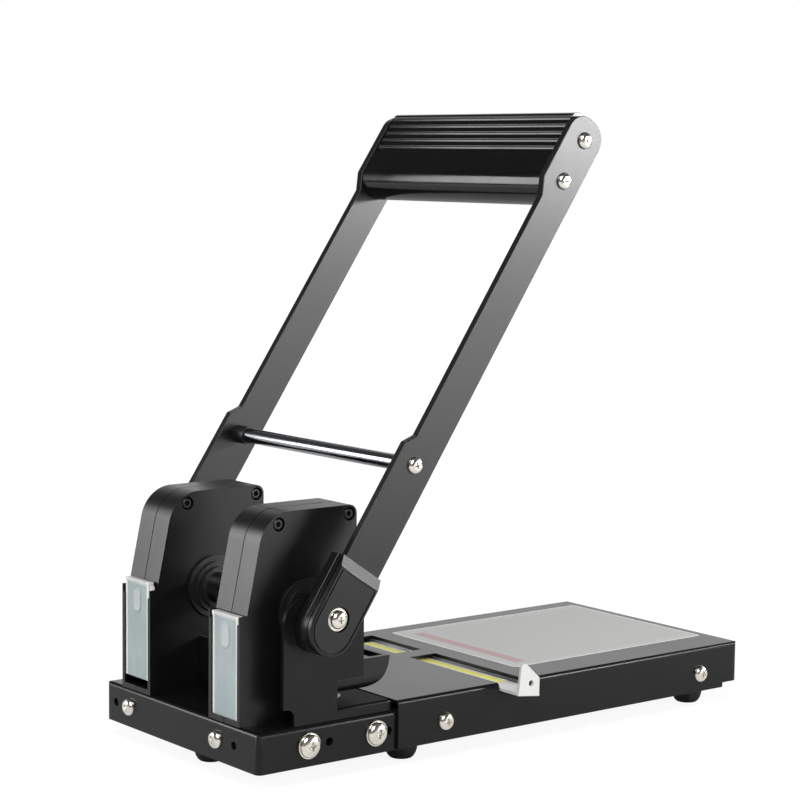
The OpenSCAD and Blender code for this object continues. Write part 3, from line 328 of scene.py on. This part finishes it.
def rubber(name):
    f = Finish(name, Specular_IOR_Level=0.3)
    grain = f.noise(1500, 3.0, 0.6)
    scuff = f.noise(240, 3.0, 0.6)
    f["Base Color"] = f.blend(scuff.fade(0.5, 0.8), (0.006, 0.006, 0.006), (0.020, 0.019, 0.018))
    f["Roughness"] = 0.60 + (grain - 0.5) * 0.2
    f["Normal"] = f.bump(grain, 0.00002, 0.5)
    return f.material


def ruled_scale(name):
    """Yellow rule with white edges and dark marks: each millimetre, longer at five and ten."""
    f = Finish(name)
    x, y, _ = f.axes()
    across = y - RULE_Y
    reach = {1: 1.1, 5: 1.8, 10: 2.6}
    marks = None
    for step, length in reach.items():
        along = abs((x / (step * MM) + 0.5) % 1.0 - 0.5)
        mark = (along < 0.10 / step) * across.inside(YELLOW_HALF - length * MM, YELLOW_HALF)
        marks = mark if marks is None else marks.either(mark)
    wear = f.noise(300, 4.0, 0.6)
    yellow = f.blend(wear.fade(0.4, 0.8), (0.82, 0.78, 0.10), (0.70, 0.68, 0.12))
    body = f.blend(abs(across) > YELLOW_HALF, yellow, (0.80, 0.80, 0.77))
    f["Base Color"] = f.blend(marks * 0.7, body, (0.08, 0.08, 0.06))
    f["Roughness"] = 0.34 + (wear - 0.5) * 0.14
    f["Normal"] = f.bump(wear, 0.000006, 0.4)
    return f.material


def panel_film(name):
    """Plain grey film with faint ruling, a red band and a thin border."""
    f = Finish(name)
    x, y, _ = f.axes()
    x0, x1, y0, y1 = PANEL
    grain = f.noise(1400, 2.0, 0.5)
    cloud = f.noise(26, 4.0, 0.6)
    grey = f.blend(cloud, (0.36, 0.37, 0.355), (0.43, 0.44, 0.42))
    row = abs(((y - y0) / (4.4 * MM)) % 1.0 - 0.5) < 0.10
    ruled = row * x.inside(x0 + 7 * MM, x1 - 7 * MM) * y.inside(y0 + 6 * MM, y1 - 18 * MM)
    grey = f.blend(ruled * 0.6, grey, (0.20, 0.20, 0.19))
    band = y.inside(y1 - 15.3 * MM, y1 - 8.2 * MM) * x.inside(x0 + 8 * MM, x1 - 10 * MM)
    rim = x.inside(x0 + 1.4 * MM, x1 - 1.4 * MM) * y.inside(y0 + 1.4 * MM, y1 - 1.4 * MM)
    colour = f.blend(rim, (0.58, 0.59, 0.57), grey)
    f["Base Color"] = f.blend(band * 0.85, colour, (0.36, 0.17, 0.18))
    f["Roughness"] = 0.36 + (grain - 0.5) * 0.10 + (cloud - 0.5) * 0.10
    f["Normal"] = f.bump(grain, 0.000006, 0.3)
    return f.material


SHEET = powder_coat("powder_coated_sheet", (0.0035, 0.0035, 0.0035), 0.25, 0.24)
ARM_COAT = powder_coat("powder_coated_arm", (0.0045, 0.0045, 0.0045), 0.30, 0.45)
# Painted shade: the steel bed plate is coloured nearly black, standing in for the shade in the throat.
BED_PAINTED_SHADE = powder_coat("bed_painted_shade", (0.002, 0.002, 0.002), 0.60, 0.10)
MOULDED = moulded_black("moulded_black", (0.0028, 0.0028, 0.0030), 0.34, 0.36)
GRIP_BLACK = glossy_black("grip_black")
NICKEL = plated("nickel_plate", (0.78, 0.75, 0.68), 0.20)
# Brass tint of the cross recesses, darkened as painted shade in the hollow.
RECESS = plated("recess_brass_and_painted_shade", (0.09, 0.06, 0.025), 0.45)
BAR = drawn_bar("polished_bar", (0.30, 0.31, 0.33), 0.14)
TOOL = plated("ground_steel", (0.52, 0.53, 0.55), 0.28)
MACHINED = plated("machined_steel", (0.36, 0.37, 0.39), 0.36)
OXIDE = plated("black_oxide", (0.030, 0.030, 0.032), 0.36, metal=0.6)
ZINC = zinc_sheet("zinc_sheet")
MILKY = milky("milky_plastic")
WHITE = white_paint("white_paint")
RUBBER = rubber("foot_rubber")
SCALE = ruled_scale("ruled_scale")
PRINT = panel_film("panel_film")
NYLON = moulded_black("bush_nylon", (0.007, 0.007, 0.0075), 0.36)
CREAM = moulded_black("disc_nylon", (0.50, 0.47, 0.40), 0.45)

FINISH_OF = {
    "black_sheet": SHEET, "zinc_sheet": ZINC, "white_steel": WHITE, "scale_print": SCALE,
    "machined_steel": MACHINED, "disc_plastic": CREAM, "moulded_black": MOULDED,
    "milky_plastic": MILKY, "tool_steel": TOOL, "black_oxide": OXIDE, "spring_steel": TOOL,
    "polished_steel": BAR, "bush_plastic": NYLON, "grip_black": GRIP_BLACK, "nickel": NICKEL,
    "foot_rubber": RUBBER,
}


def dress(thing, *materials):
    thing.data.materials.clear()
    for material in materials:
        thing.data.materials.append(material)


def finish_of(node):
    if node.startswith("lever_arm"):
        return ARM_COAT
    # The bed plate takes the painted shade instead of machined steel.
    if node == "bed_plate":
        return BED_PAINTED_SHADE
    return FINISH_OF[SLOT_OF[node]]


for node, thing in NODES.items():
    dress(thing, finish_of(node))


# Pieces


def piece(name, form, body, slot, *materials, stands_for=(), sharp=35):
    """Turns a bmesh into a piece that rides on a body. Its slot argument is not used."""
    mesh = bpy.data.meshes.new(name)
    form.to_mesh(mesh)
    form.free()
    thing = bpy.data.objects.new(name, mesh)
    SCENE.collection.objects.link(thing)
    dress(thing, *materials)
    mesh.polygons.foreach_set("use_smooth", [True] * len(mesh.polygons))
    mesh.set_sharp_from_angle(angle=math.radians(sharp))
    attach(thing, body)
    if stands_for:
        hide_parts(*stands_for)
    return thing


def cleaned(form):
    """The form with its doubled points joined and its flat faces whole."""
    bmesh.ops.remove_doubles(form, verts=form.verts, dist=WELD)
    bmesh.ops.dissolve_limit(form, angle_limit=FLAT, verts=form.verts, edges=form.edges)
    return form


def copied(node):
    """The node's mesh as a form of its own."""
    form = bmesh.new()
    form.from_mesh(NODES[node].data)
    return cleaned(form)


def gather(form, one):
    """Adds one form to another and frees it."""
    mesh = bpy.data.meshes.new("gathered")
    one.to_mesh(mesh)
    one.free()
    form.from_mesh(mesh)
    bpy.data.meshes.remove(mesh)


def combined(form, others, operation):
    """The form with other closed forms joined to it or cut out of it."""
    things = []
    for part in (form, *others):
        mesh = bpy.data.meshes.new("part")
        part.to_mesh(mesh)
        part.free()
        things.append(bpy.data.objects.new("part", mesh))
        SCENE.collection.objects.link(things[-1])
    for other in things[1:]:
        step = things[0].modifiers.new("step", "BOOLEAN")
        step.object, step.operation, step.solver = other, operation, "EXACT"
    bpy.context.view_layer.update()
    shaped = things[0].evaluated_get(bpy.context.evaluated_depsgraph_get())
    result = bmesh.new()
    result.from_mesh(shaped.to_mesh())
    shaped.to_mesh_clear()
    for thing in things:
        mesh = thing.data
        bpy.data.objects.remove(thing)
        bpy.data.meshes.remove(mesh)
    return cleaned(result)


def loft(*loops):
    """A closed solid through loops of as many (x, y, z) points, capped at both ends."""
    form = bmesh.new()
    rows = [[form.verts.new(point) for point in loop] for loop in loops]
    for low, high in zip(rows, rows[1:]):
        strip(form, low, high)
    form.faces.new(rows[0])
    form.faces.new(rows[-1])
    bmesh.ops.recalc_face_normals(form, faces=form.faces)
    return form


def swept(outline, axis, low, high):
    """A prism: an outline in the other two axes, pushed along one axis."""
    def at(level):
        return [tuple(pair[:axis]) + (level,) + tuple(pair[axis:]) for pair in outline]
    return loft(at(low), at(high))


def oblong(x0, x1, y0, y1):
    return [(x0, y0), (x1, y0), (x1, y1), (x0, y1)]


def eased(node, width, angle=30, form=None):
    """The CAD piece, or a form that stands for it, with its sharp edges rounded over."""
    thing = piece(
        "eased_" + node, form or copied(node), BODY_OF[node], SLOT_OF[node], finish_of(node),
        stands_for=[node], sharp=angle,
    )
    edges = thing.modifiers.new("edges", "BEVEL")
    edges.width = width
    edges.segments = 2
    edges.limit_method = "ANGLE"
    edges.angle_limit = math.radians(angle)
    edges.harden_normals = True
    even = thing.modifiers.new("even", "WEIGHTED_NORMAL")
    even.weight, even.keep_sharp = 100, True


def solids(node):
    """The lowest and highest corner of each separate solid of a node."""
    form = copied(node)
    seen, found = set(), []
    for start in form.verts:
        if start in seen:
            continue
        seen.add(start)
        group, waiting = [], [start]
        while waiting:
            vert = waiting.pop()
            group.append(vert.co.copy())
            for edge in vert.link_edges:
                other = edge.other_vert(vert)
                if other not in seen:
                    seen.add(other)
                    waiting.append(other)
        corners = [[pick(co[i] for co in group) for i in range(3)] for pick in (min, max)]
        found.append(tuple(Vector(corner) for corner in corners))
    form.free()
    return found


def ring(form, radius, height, count=40):
    turn = 2 * math.pi / count
    return [
        form.verts.new((radius * math.cos(i * turn), radius * math.sin(i * turn), height))
        for i in range(count)
    ]


def strip(form, low, high, material=0):
    """Faces between two loops of as many points."""
    for i in range(len(low)):
        j = (i + 1) % len(low)
        form.faces.new((low[i], low[j], high[j], high[i])).material_index = material


def fill_between(form, *loops):
    """Triangles over the flat region between an outer loop and the loop of a recess."""
    edges = []
    for loop in loops:
        for i, vert in enumerate(loop):
            pair = (vert, loop[(i + 1) % len(loop)])
            edges.append(form.edges.get(pair) or form.edges.new(pair))
    bmesh.ops.triangle_fill(form, use_beauty=True, use_dissolve=False, edges=edges)


def cross(form, half, reach, corner, turn, height):
    """The outline of a driver's cross: wings of half a width and a reach, corners cut back."""
    wing = [
        (reach * 0.94, -half), (reach, -half * 0.6), (reach, half * 0.6), (reach * 0.94, half),
        (corner, half), (half, corner),
    ]
    loop = []
    for k in range(4):
        angle = turn + k * math.pi / 2
        for u, v in wing:
            x = u * math.cos(angle) - v * math.sin(angle)
            y = u * math.sin(angle) + v * math.cos(angle)
            loop.append(form.verts.new((x, y, height)))
    return loop


def pan_head(r, h, shank_r, shank_l, turn):
    """A cross-recessed pan head along +Z, standing on zero, with its shank below.

    The tables give shares of the head's radius and height: the crown's points, then the cross's
    half width, reach, inner corner and height.
    """
    form = bmesh.new()
    crown = [(0.46, 0.96), (0.60, 0.90), (0.72, 0.82), (0.83, 0.69), (0.91, 0.53), (0.97, 0.34),
             (1.0, 0.15), (1.0, 0.0)]
    rings = [ring(form, r * out, h * up) for out, up in crown]
    for upper, lower in zip(rings, rings[1:]):
        strip(form, lower, upper)
    levels = [(0.105, 0.40, 0.175, 0.95), (0.095, 0.37, 0.165, 0.80), (0.075, 0.24, 0.135, 0.42)]
    walls = [cross(form, r * a, r * b, r * c, turn, h * up) for a, b, c, up in levels]
    fill_between(form, rings[0], walls[0])
    for face in form.faces:
        face.material_index = 0
    # The cross's walls and floor take the second material: brass darkened with painted shade.
    for upper, lower in zip(walls, walls[1:]):
        strip(form, lower, upper, 1)
    point = form.verts.new((0, 0, h * 0.28))
    last = walls[-1]
    for i, vert in enumerate(last):
        form.faces.new((point, vert, last[(i + 1) % len(last)])).material_index = 1
    neck = ring(form, shank_r, 0.0)
    tail = ring(form, shank_r, -shank_l)
    strip(form, neck, rings[-1])
    strip(form, tail, neck)
    form.faces.new(list(reversed(tail)))
    bmesh.ops.recalc_face_normals(form, faces=form.faces)
    return form


def screws(node, r, h, shank_r, turns):
    """Detailed screws in the places of the node's plain ones."""
    form = bmesh.new()
    for n, (low, high) in enumerate(solids(node)):
        size, centre = high - low, (low + high) / 2
        along = 1 if node == "rear_screws" else 0
        out = Vector((0, 0, 0))
        out[along] = 1.0 if centre[along] > 0 or along == 1 else -1.0
        seat = centre.copy()
        seat[along] = (high[along] if out[along] > 0 else low[along]) - out[along] * h
        up = Vector((0, 0, 1))
        side = up.cross(out)
        turn = Matrix((side, up, out)).transposed().to_4x4()
        one = pan_head(r, h, shank_r, size[along] - h, math.radians(turns[n % len(turns)]))
        one.transform(Matrix.Translation(seat) @ turn)
        gather(form, one)
    piece("made_" + node, form, BODY_OF[node], SLOT_OF[node], NICKEL, RECESS, stands_for=[node])


def lathed(profile, count=48):
    """A closed solid turned about Z from (radius, height) points, the first and last on the axis."""
    form = bmesh.new()
    loops = [ring(form, radius, height, count) for radius, height in profile[1:-1]]
    for low, high in zip(loops, loops[1:]):
        strip(form, low, high)
    for end, loop in ((profile[0], loops[0]), (profile[-1], loops[-1])):
        tip = form.verts.new((0, 0, end[1]))
        for i, vert in enumerate(loop):
            form.faces.new((tip, vert, loop[(i + 1) % count]))
    bmesh.ops.recalc_face_normals(form, faces=form.faces)
    return form


def make_feet():
    """Rubber domes with a rolled lower edge and a thin lip against the base, drawn in millimetres."""
    profile = [(0, 0), (5.0, 0), (5.7, 0.25), (6.6, 1.1), (7.5, 2.6), (8.1, 4.4), (8.45, 6.6),
               (8.5, 8.6), (8.45, 9.6), (8.2, 10.0), (0, 10.0)]
    for n, (low, high) in enumerate(solids("feet")):
        form = lathed([(r * MM, z * MM) for r, z in profile])
        form.transform(Matrix.Translation(((low + high) / 2).xy.to_3d()))
        stands_for = ["feet"] if n == 0 else ()
        piece(f"foot_{n}", form, "base", "foot_rubber", RUBBER, stands_for=stands_for)


def film(x0, x1, y0, y1, z, thick, corner):
    """A thin sheet with rounded corners, its upper edge broken."""
    corners = [(x1 - corner, y1 - corner), (x0 + corner, y1 - corner), (x0 + corner, y0 + corner),
               (x1 - corner, y0 + corner)]
    steps, broken = 6, 0.3
    loops = []
    for height, inset in ((0.0, 0.0), (thick * (1 - broken), 0.0), (thick, thick * broken)):
        loop = []
        for k, (cx, cy) in enumerate(corners):
            for i in range(steps + 1):
                angle = math.pi / 2 * (k + i / steps)
                reach = corner - inset
                loop.append((cx + reach * math.cos(angle), cy + reach * math.sin(angle), z + height))
        loops.append(loop)
    return loft(*loops)


def make_panel():
    """The grey film stuck on the table cover."""
    let_in, thick, corner = 0.02 * MM, 0.14 * MM, 2.5 * MM
    form = film(*PANEL, COVER_HIGH.z - let_in, thick, corner)
    piece("printed_panel", form, "base", "black_sheet", PRINT)


def make_scale():
    """The printed rule, short of the stop's end of the ruler."""
    low, high = (Vector(corner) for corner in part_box("scale_strip"))
    half_w, short, corner = 4.7 * MM, 10.7 * MM, 0.5 * MM
    sides = (low.x + short, high.x, RULE_Y - half_w, RULE_Y + half_w)
    form = film(*sides, low.z, high.z - low.z, corner)
    piece("printed_rule", form, "ruler", "scale_print", SCALE, stands_for=["scale_strip"])


def make_ruler():
    """The ruler, its far edge and the corners of its folded stop brought to the real outline."""
    form = copied("ruler")
    low = Vector(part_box("ruler")[0])
    drop, narrow, sag, rounded = 1.2 * MM, 1.4 * MM, 1.8 * MM, 0.25 * MM
    stop_top, stop_back, far_edge, underside = 42 * MM, low.x + 2 * MM, low.y + 0.9 * MM, low.z + 1 * MM
    for vert in form.verts:
        if vert.co.z > stop_top:
            vert.co.z -= drop
        if vert.co.y < far_edge:
            vert.co.y += narrow
            if vert.co.x < stop_back and vert.co.z < underside:
                vert.co.z -= sag
    eased("ruler", rounded, form=form)


def make_tower_half(node):
    """A tower's shell: a wider opening between the window's lips, and an open seam."""
    x = middle("chip_window_left" if "left" in node else "chip_window_right").x
    low, high = (Vector(corner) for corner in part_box("chip_window_left"))
    open_half, open_depth, seam, near, rounded = 11 * MM, 2 * MM, 0.25 * MM, 0.01 * MM, 0.3 * MM
    opening = oblong(x - open_half, x + open_half, high.y - open_depth, high.y + open_depth)
    cutter = swept(opening, 2, low.z, high.z + open_depth)
    shell = combined(copied(node), [cutter], "DIFFERENCE")
    side = 1.0 if middle(node).x > x else -1.0
    for vert in shell.verts:
        if abs(vert.co.x - x) < near:
            vert.co.x += side * seam
    eased(node, rounded, form=shell)


def pill(half, span, centre_x, centre_z, y, count=16):
    """Points round an upright pill shape at one depth."""
    loop = []
    for k, sign in ((0, 1), (1, -1)):
        for i in range(count + 1):
            angle = math.pi * (k + i / count)
            x = centre_x + half * math.cos(angle)
            loop.append((x, y, centre_z + sign * span / 2 + half * math.sin(angle)))
    return loop


def make_window(node):
    """A milky slide: a field between the lips, a proud band on top, and a dished thumb pad."""
    low, high = (Vector(corner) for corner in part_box(node))
    x = (low.x + high.x) / 2
    band_h, band_in, ear = 2.2 * MM, 0.25 * MM, 1.2 * MM
    lip, field_in, rounded = 1.55 * MM, 0.50 * MM, 0.3 * MM
    face = high.y - field_in
    edge = high.y - lip
    tee = [(low.x, edge), (low.x, low.y), (high.x, low.y), (high.x, edge), (x + FIELD_HALF, edge),
           (x + FIELD_HALF, face), (x - FIELD_HALF, face), (x - FIELD_HALF, edge)]
    field = swept(tee, 2, low.z, high.z - band_h)
    band_end = oblong(low.y, high.y - band_in, high.z - band_h, high.z)
    band = swept(band_end, 0, low.x + ear, high.x - ear)
    eased(node, rounded, form=combined(field, [band], "UNION"))
    pad_z, span, pad_in = high.z - 10.3 * MM, 5.6 * MM, 0.05 * MM
    # Half width and rise over the field, in millimetres, from the pad's foot to its dished middle.
    steps = [(3.9, -0.05), (3.75, 0.28), (3.45, 0.40), (2.9, 0.40), (2.4, 0.30), (1.6, 0.14),
             (0.7, 0.08)]
    rows = [
        pill(reach * MM, span, x, pad_z, min(face + rise * MM, high.y - pad_in))
        for reach, rise in steps
    ]
    piece("pad_" + node, loft(*rows), BODY_OF[node], SLOT_OF[node], MILKY, sharp=50)


def make_side_plate(node):
    """The side plate with its upper end lowered to a round shoulder."""
    low, high = (Vector(corner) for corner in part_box(node))
    drop, corner, past, rounded, steps = 4.4 * MM, 15.5 * MM, 2 * MM, 0.4 * MM, 12
    top = high.z - drop
    shoulder = high.y - corner
    arc = []
    for i in range(steps + 1):
        angle = math.pi / 2 * i / steps
        arc.append((shoulder + corner * math.sin(angle), top - corner + corner * math.cos(angle)))
    outline = [(low.y - past, top), *arc, (high.y + past, top - corner), (high.y + past, high.z + past),
               (low.y - past, high.z + past)]
    cutter = swept(outline, 0, low.x - past, high.x + past)
    eased(node, rounded, form=combined(copied(node), [cutter], "DIFFERENCE"))


def socket_heads():
    """Socket-head screws in the towers, a little further out than the plain ones, still sunk."""
    form = bmesh.new()
    shank_r, head_r, head_h, chamfer = 1.9 * MM, 2.65 * MM, 3.6 * MM, 0.4 * MM
    further, key_r, key_deep = 0.5 * MM, 1.5 * MM, 2.0 * MM
    for low, high in solids("tower_screws"):
        centre = (low + high) / 2
        one = bmesh.new()
        top = -(low.x - further)
        levels = [(shank_r, -high.x), (shank_r, top - head_h), (head_r, top - head_h),
                  (head_r, top - chamfer), (head_r - chamfer, top)]
        rings = [ring(one, r, z, 36) for r, z in levels]
        for lower, upper in zip(rings, rings[1:]):
            strip(one, lower, upper)
        one.faces.new(list(reversed(rings[0])))
        rim, foot = ring(one, key_r, top, 6), ring(one, key_r, top - key_deep, 6)
        fill_between(one, rings[-1], rim)
        strip(one, rim, foot)
        one.faces.new(foot)
        bmesh.ops.recalc_face_normals(one, faces=one.faces)
        turn = Matrix.Rotation(-math.pi / 2, 4, "Y")
        one.transform(Matrix.Translation((0, centre.y, centre.z)) @ turn)
        gather(form, one)
    piece("made_tower_screws", form, "base", "black_oxide", OXIDE, stands_for=["tower_screws"])


def leant(side, points):
    """Places drawn as (out, across, along) of an upright lever, leant over about the shaft."""
    turn = Matrix.Rotation(LEAN, 3, "X")
    return [
        turn @ Vector((side * out, across, along)) + Vector((0, SHAFT.y, SHAFT.z))
        for out, across, along in points
    ]


def hub_outline(out, half, top, drop, count=24):
    """A hub's outline at one distance out: square above, round below."""
    loop = [(out, half, top)]
    for i in range(count + 1):
        angle = -math.pi * i / count
        loop.append((out, half * math.cos(angle), half * math.sin(angle) - drop))
    return loop + [(out, -half, top)]


def make_hub(side, word):
    """A hub's inner block and, over the arm, its cap with a sloping top and a sunk line."""
    inner = Vector(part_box("hub_base_right")[0]).x
    arm_in, arm_out = (Vector(corner).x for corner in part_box("lever_arm_right"))
    out = Vector(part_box("hub_cap_right")[1]).x
    half, top, drop, bevel = 13.4 * MM, 28 * MM, 5.4 * MM, 6 * MM
    soft = 0.4 * MM
    base = loft(*[
        leant(side, hub_outline(x, half - d, top - d, drop))
        for x, d in ((inner, soft), (inner + soft, 0), (arm_in - soft, 0), (arm_in, soft))
    ])
    node = "hub_base_" + word
    piece("made_" + node, base, "lever", "moulded_black", MOULDED, stands_for=[node])
    seam_deep, seam_in, seam_out = 0.8 * MM, arm_out - 0.9 * MM, arm_out - 0.2 * MM
    rows = [
        (arm_in, 0, top), (seam_in, 0, top), (seam_in, seam_deep, top - seam_deep),
        (seam_out, seam_deep, top - seam_deep), (seam_out, 0, top), (arm_out, 0, top),
    ]
    # The slope's lower edge and the line sunk in the face, in millimetres: in from the face, in from
    # the sides, and up from the foot of the slope.
    line_in, line_w, line_deep = 1.5, 0.7, 0.7
    face = [
        (0.8, 0, 1.9), (0.25, 0.2, 0.6), (0, 0.7, 0), (0, line_in, -0.4), (line_deep, line_in, -0.5),
        (line_deep, line_in + line_w, -0.6), (0, line_in + line_w, -0.7),
    ]
    rows += [(out - deep * MM, d * MM, top - bevel + rise * MM) for deep, d, rise in face]
    cap = loft(*[leant(side, hub_outline(x, half - d, level, drop)) for x, d, level in rows])
    turn = Matrix.Rotation(LEAN, 4, "X")
    place = Matrix.Translation((0, SHAFT.y, SHAFT.z)) @ turn
    recess_r, recess_deep, past, count = 6.3 * MM, 1.4 * MM, 5 * MM, 40
    angles = [2 * math.pi * i / count for i in range(count)]
    circle = [(recess_r * math.cos(angle), recess_r * math.sin(angle)) for angle in angles]
    recess = swept(circle, 0, side * (out - recess_deep), side * (out + past))
    recess.transform(place)
    clear, start = 11.7 * MM, arm_in - 1 * MM
    channel = loft(*[leant(side, hub_outline(x, clear, top + past, 0)) for x in (start, arm_out)])
    cap = combined(cap, [channel, recess], "DIFFERENCE")
    node = "hub_cap_" + word
    piece("made_" + node, cap, "lever", "moulded_black", MOULDED, stands_for=[node], sharp=28)


# How far the edges of these are rounded, in millimetres.
EASED = {
    "base_tray": 0.25, "table_cover": 0.25, "lever_arm_left": 0.55, "lever_arm_right": 0.55,
    "punch_bridge": 0.4, "grip": 0.4,
}
for node, width in EASED.items():
    eased(node, width * MM)
for node in NODES:
    if node.startswith("tower_") and node.endswith(("_inner", "_outer")):
        make_tower_half(node)
    if node.startswith("chip_window"):
        make_window(node)
    if node.startswith("side_plate"):
        make_side_plate(node)
for side, word in ((1.0, "right"), (-1.0, "left")):
    make_hub(side, word)
socket_heads()
make_ruler()
make_scale()

for node, r, h, turns in (
    ("rear_screws", 4.6, 3.0, (40, 12)), ("cover_screws", 4.6, 3.0, (25, 60, 8, 75)),
    ("side_screws", 5.8, 3.0, (20, 50, 5, 80)), ("rod_screws", 4.3, 2.6, (30, 10)),
    ("grip_screws", 4.3, 2.6, (15, 70, 40, 85)), ("hub_screws", 4.6, 3.0, (35, 5)),
):
    shank = 2.4 if node == "hub_screws" else 1.9
    screws(node, r * MM, h * MM, shank * MM, turns)

make_feet()
make_panel()


# Camera and light


def aim_camera():
    """The photograph's view, found from the punch's own edges."""
    back = Vector((0, HOLES_Y, 0))
    place = Vector((-0.92586, 0.65212, 0.30010)) + back
    target = Vector((0.0, -0.07710, 0.17445)) + back
    roll = math.radians(0.637)
    camera = bpy.data.objects.new("camera", bpy.data.cameras.new("camera"))
    SCENE.collection.objects.link(camera)
    camera.data.sensor_width = 36.0
    camera.data.lens = 101.595
    forward = (target - place).normalized()
    right = forward.cross(Vector((0, 0, 1))).normalized()
    up = right.cross(forward)
    right, up = (
        right * math.cos(roll) + up * math.sin(roll),
        up * math.cos(roll) - right * math.sin(roll),
    )
    turn = Matrix((right, up, -forward)).transposed()
    camera.matrix_world = Matrix.Translation(place) @ turn.to_4x4()
    camera.data.clip_start, camera.data.clip_end = 0.05, 50.0
    SCENE.camera = camera


def light_box(name, place, target, width, height, power):
    """A soft studio panel that faces the punch."""
    light = bpy.data.lights.new(name, "AREA")
    light.shape = "RECTANGLE"
    light.size, light.size_y = width, height
    light.energy = power
    lamp = bpy.data.objects.new(name, light)
    SCENE.collection.objects.link(lamp)
    lamp.location = place
    lamp.rotation_mode = "QUATERNION"
    lamp.rotation_quaternion = (Vector(target) - Vector(place)).to_track_quat("-Z", "Y")
    lamp.visible_camera = False


def studio():
    """White to the eye. As light, bright behind the punch and dim elsewhere, with five panels."""
    SCENE.world = bpy.data.worlds.new("studio")
    sky = Graph(SCENE.world)
    direction = sky.node("ShaderNodeTexCoord", {}, {}, "Generated")
    height = sky.parts(direction)[2]
    behind = (0.78, -0.61, 0.10)
    facing = sky.node(
        "ShaderNodeVectorMath", {"operation": "DOT_PRODUCT"}, {0: direction, 1: behind}, "Value"
    )
    room = height.fade(0.08, 0.45, 0.22, 0.10) + facing.fade(0.72, 0.97) * 0.85
    shown = sky.node("ShaderNodeBackground", {}, {"Color": (1, 1, 1), "Strength": 1.0})
    lit = sky.node("ShaderNodeBackground", {}, {"Color": (1, 1, 1), "Strength": room})
    mix = sky.node("ShaderNodeMixShader", {}, {0: sky.rays("Is Camera Ray"), 1: lit, 2: shown})
    sky.node("ShaderNodeOutputWorld", {}, {"Surface": mix}, None)

    light_box("panel_key", (-0.78, 0.62, 1.10), (0, -0.05, 0.10), 0.70, 0.70, 18.5)
    light_box("panel_back", (0.92, 0.92, 0.42), (0, 0, 0.09), 0.60, 0.60, 11.5)
    light_box("panel_side", (-1.0, -0.84, 0.10), (0, -0.05, 0.20), 0.60, 0.18, 1.3)
    light_box("panel_arm", (-1.0, -1.03, 0.39), (-0.08, -0.13, 0.30), 0.34, 0.18, 8.5)
    light_box("panel_front", (-0.42, -1.04, 0.42), (0, 0, 0.10), 0.30, 0.35, 4.2)


def lay_floor():
    """White to the eye, with the punch's own shadow kept on it. The punch mirrors little of it."""
    half, below, white, mirrored = 8.0, 0.1 * MM, 1.12, 0.08
    form = bmesh.new()
    bmesh.ops.create_grid(form, x_segments=1, y_segments=1, size=half)
    mesh = bpy.data.meshes.new("floor")
    form.to_mesh(mesh)
    form.free()
    floor = bpy.data.objects.new("floor", mesh)
    SCENE.collection.objects.link(floor)
    floor.location.z = -below
    material = bpy.data.materials.new("floor_white")
    paint = Graph(material)
    place = paint.node("ShaderNodeTexCoord", {}, {}, "Object")
    away = paint.node("ShaderNodeVectorMath", {"operation": "LENGTH"}, {0: place}, "Value")
    shown = paint.rays("Is Camera Ray") * away.fade(0.5, 1.3, 0.80, 1.0)
    share = shown + paint.rays("Is Glossy Ray") * mirrored
    matt = paint.node("ShaderNodeBsdfDiffuse", {}, {"Color": (0.80, 0.80, 0.80)})
    glow = paint.node("ShaderNodeEmission", {}, {"Color": (1, 1, 1), "Strength": white})
    mix = paint.node("ShaderNodeMixShader", {}, {0: share, 1: matt, 2: glow})
    paint.node("ShaderNodeOutputMaterial", {}, {"Surface": mix}, None)
    floor.data.materials.append(material)


aim_camera()
studio()
lay_floor()
SCENE.view_settings.view_transform = "Standard"
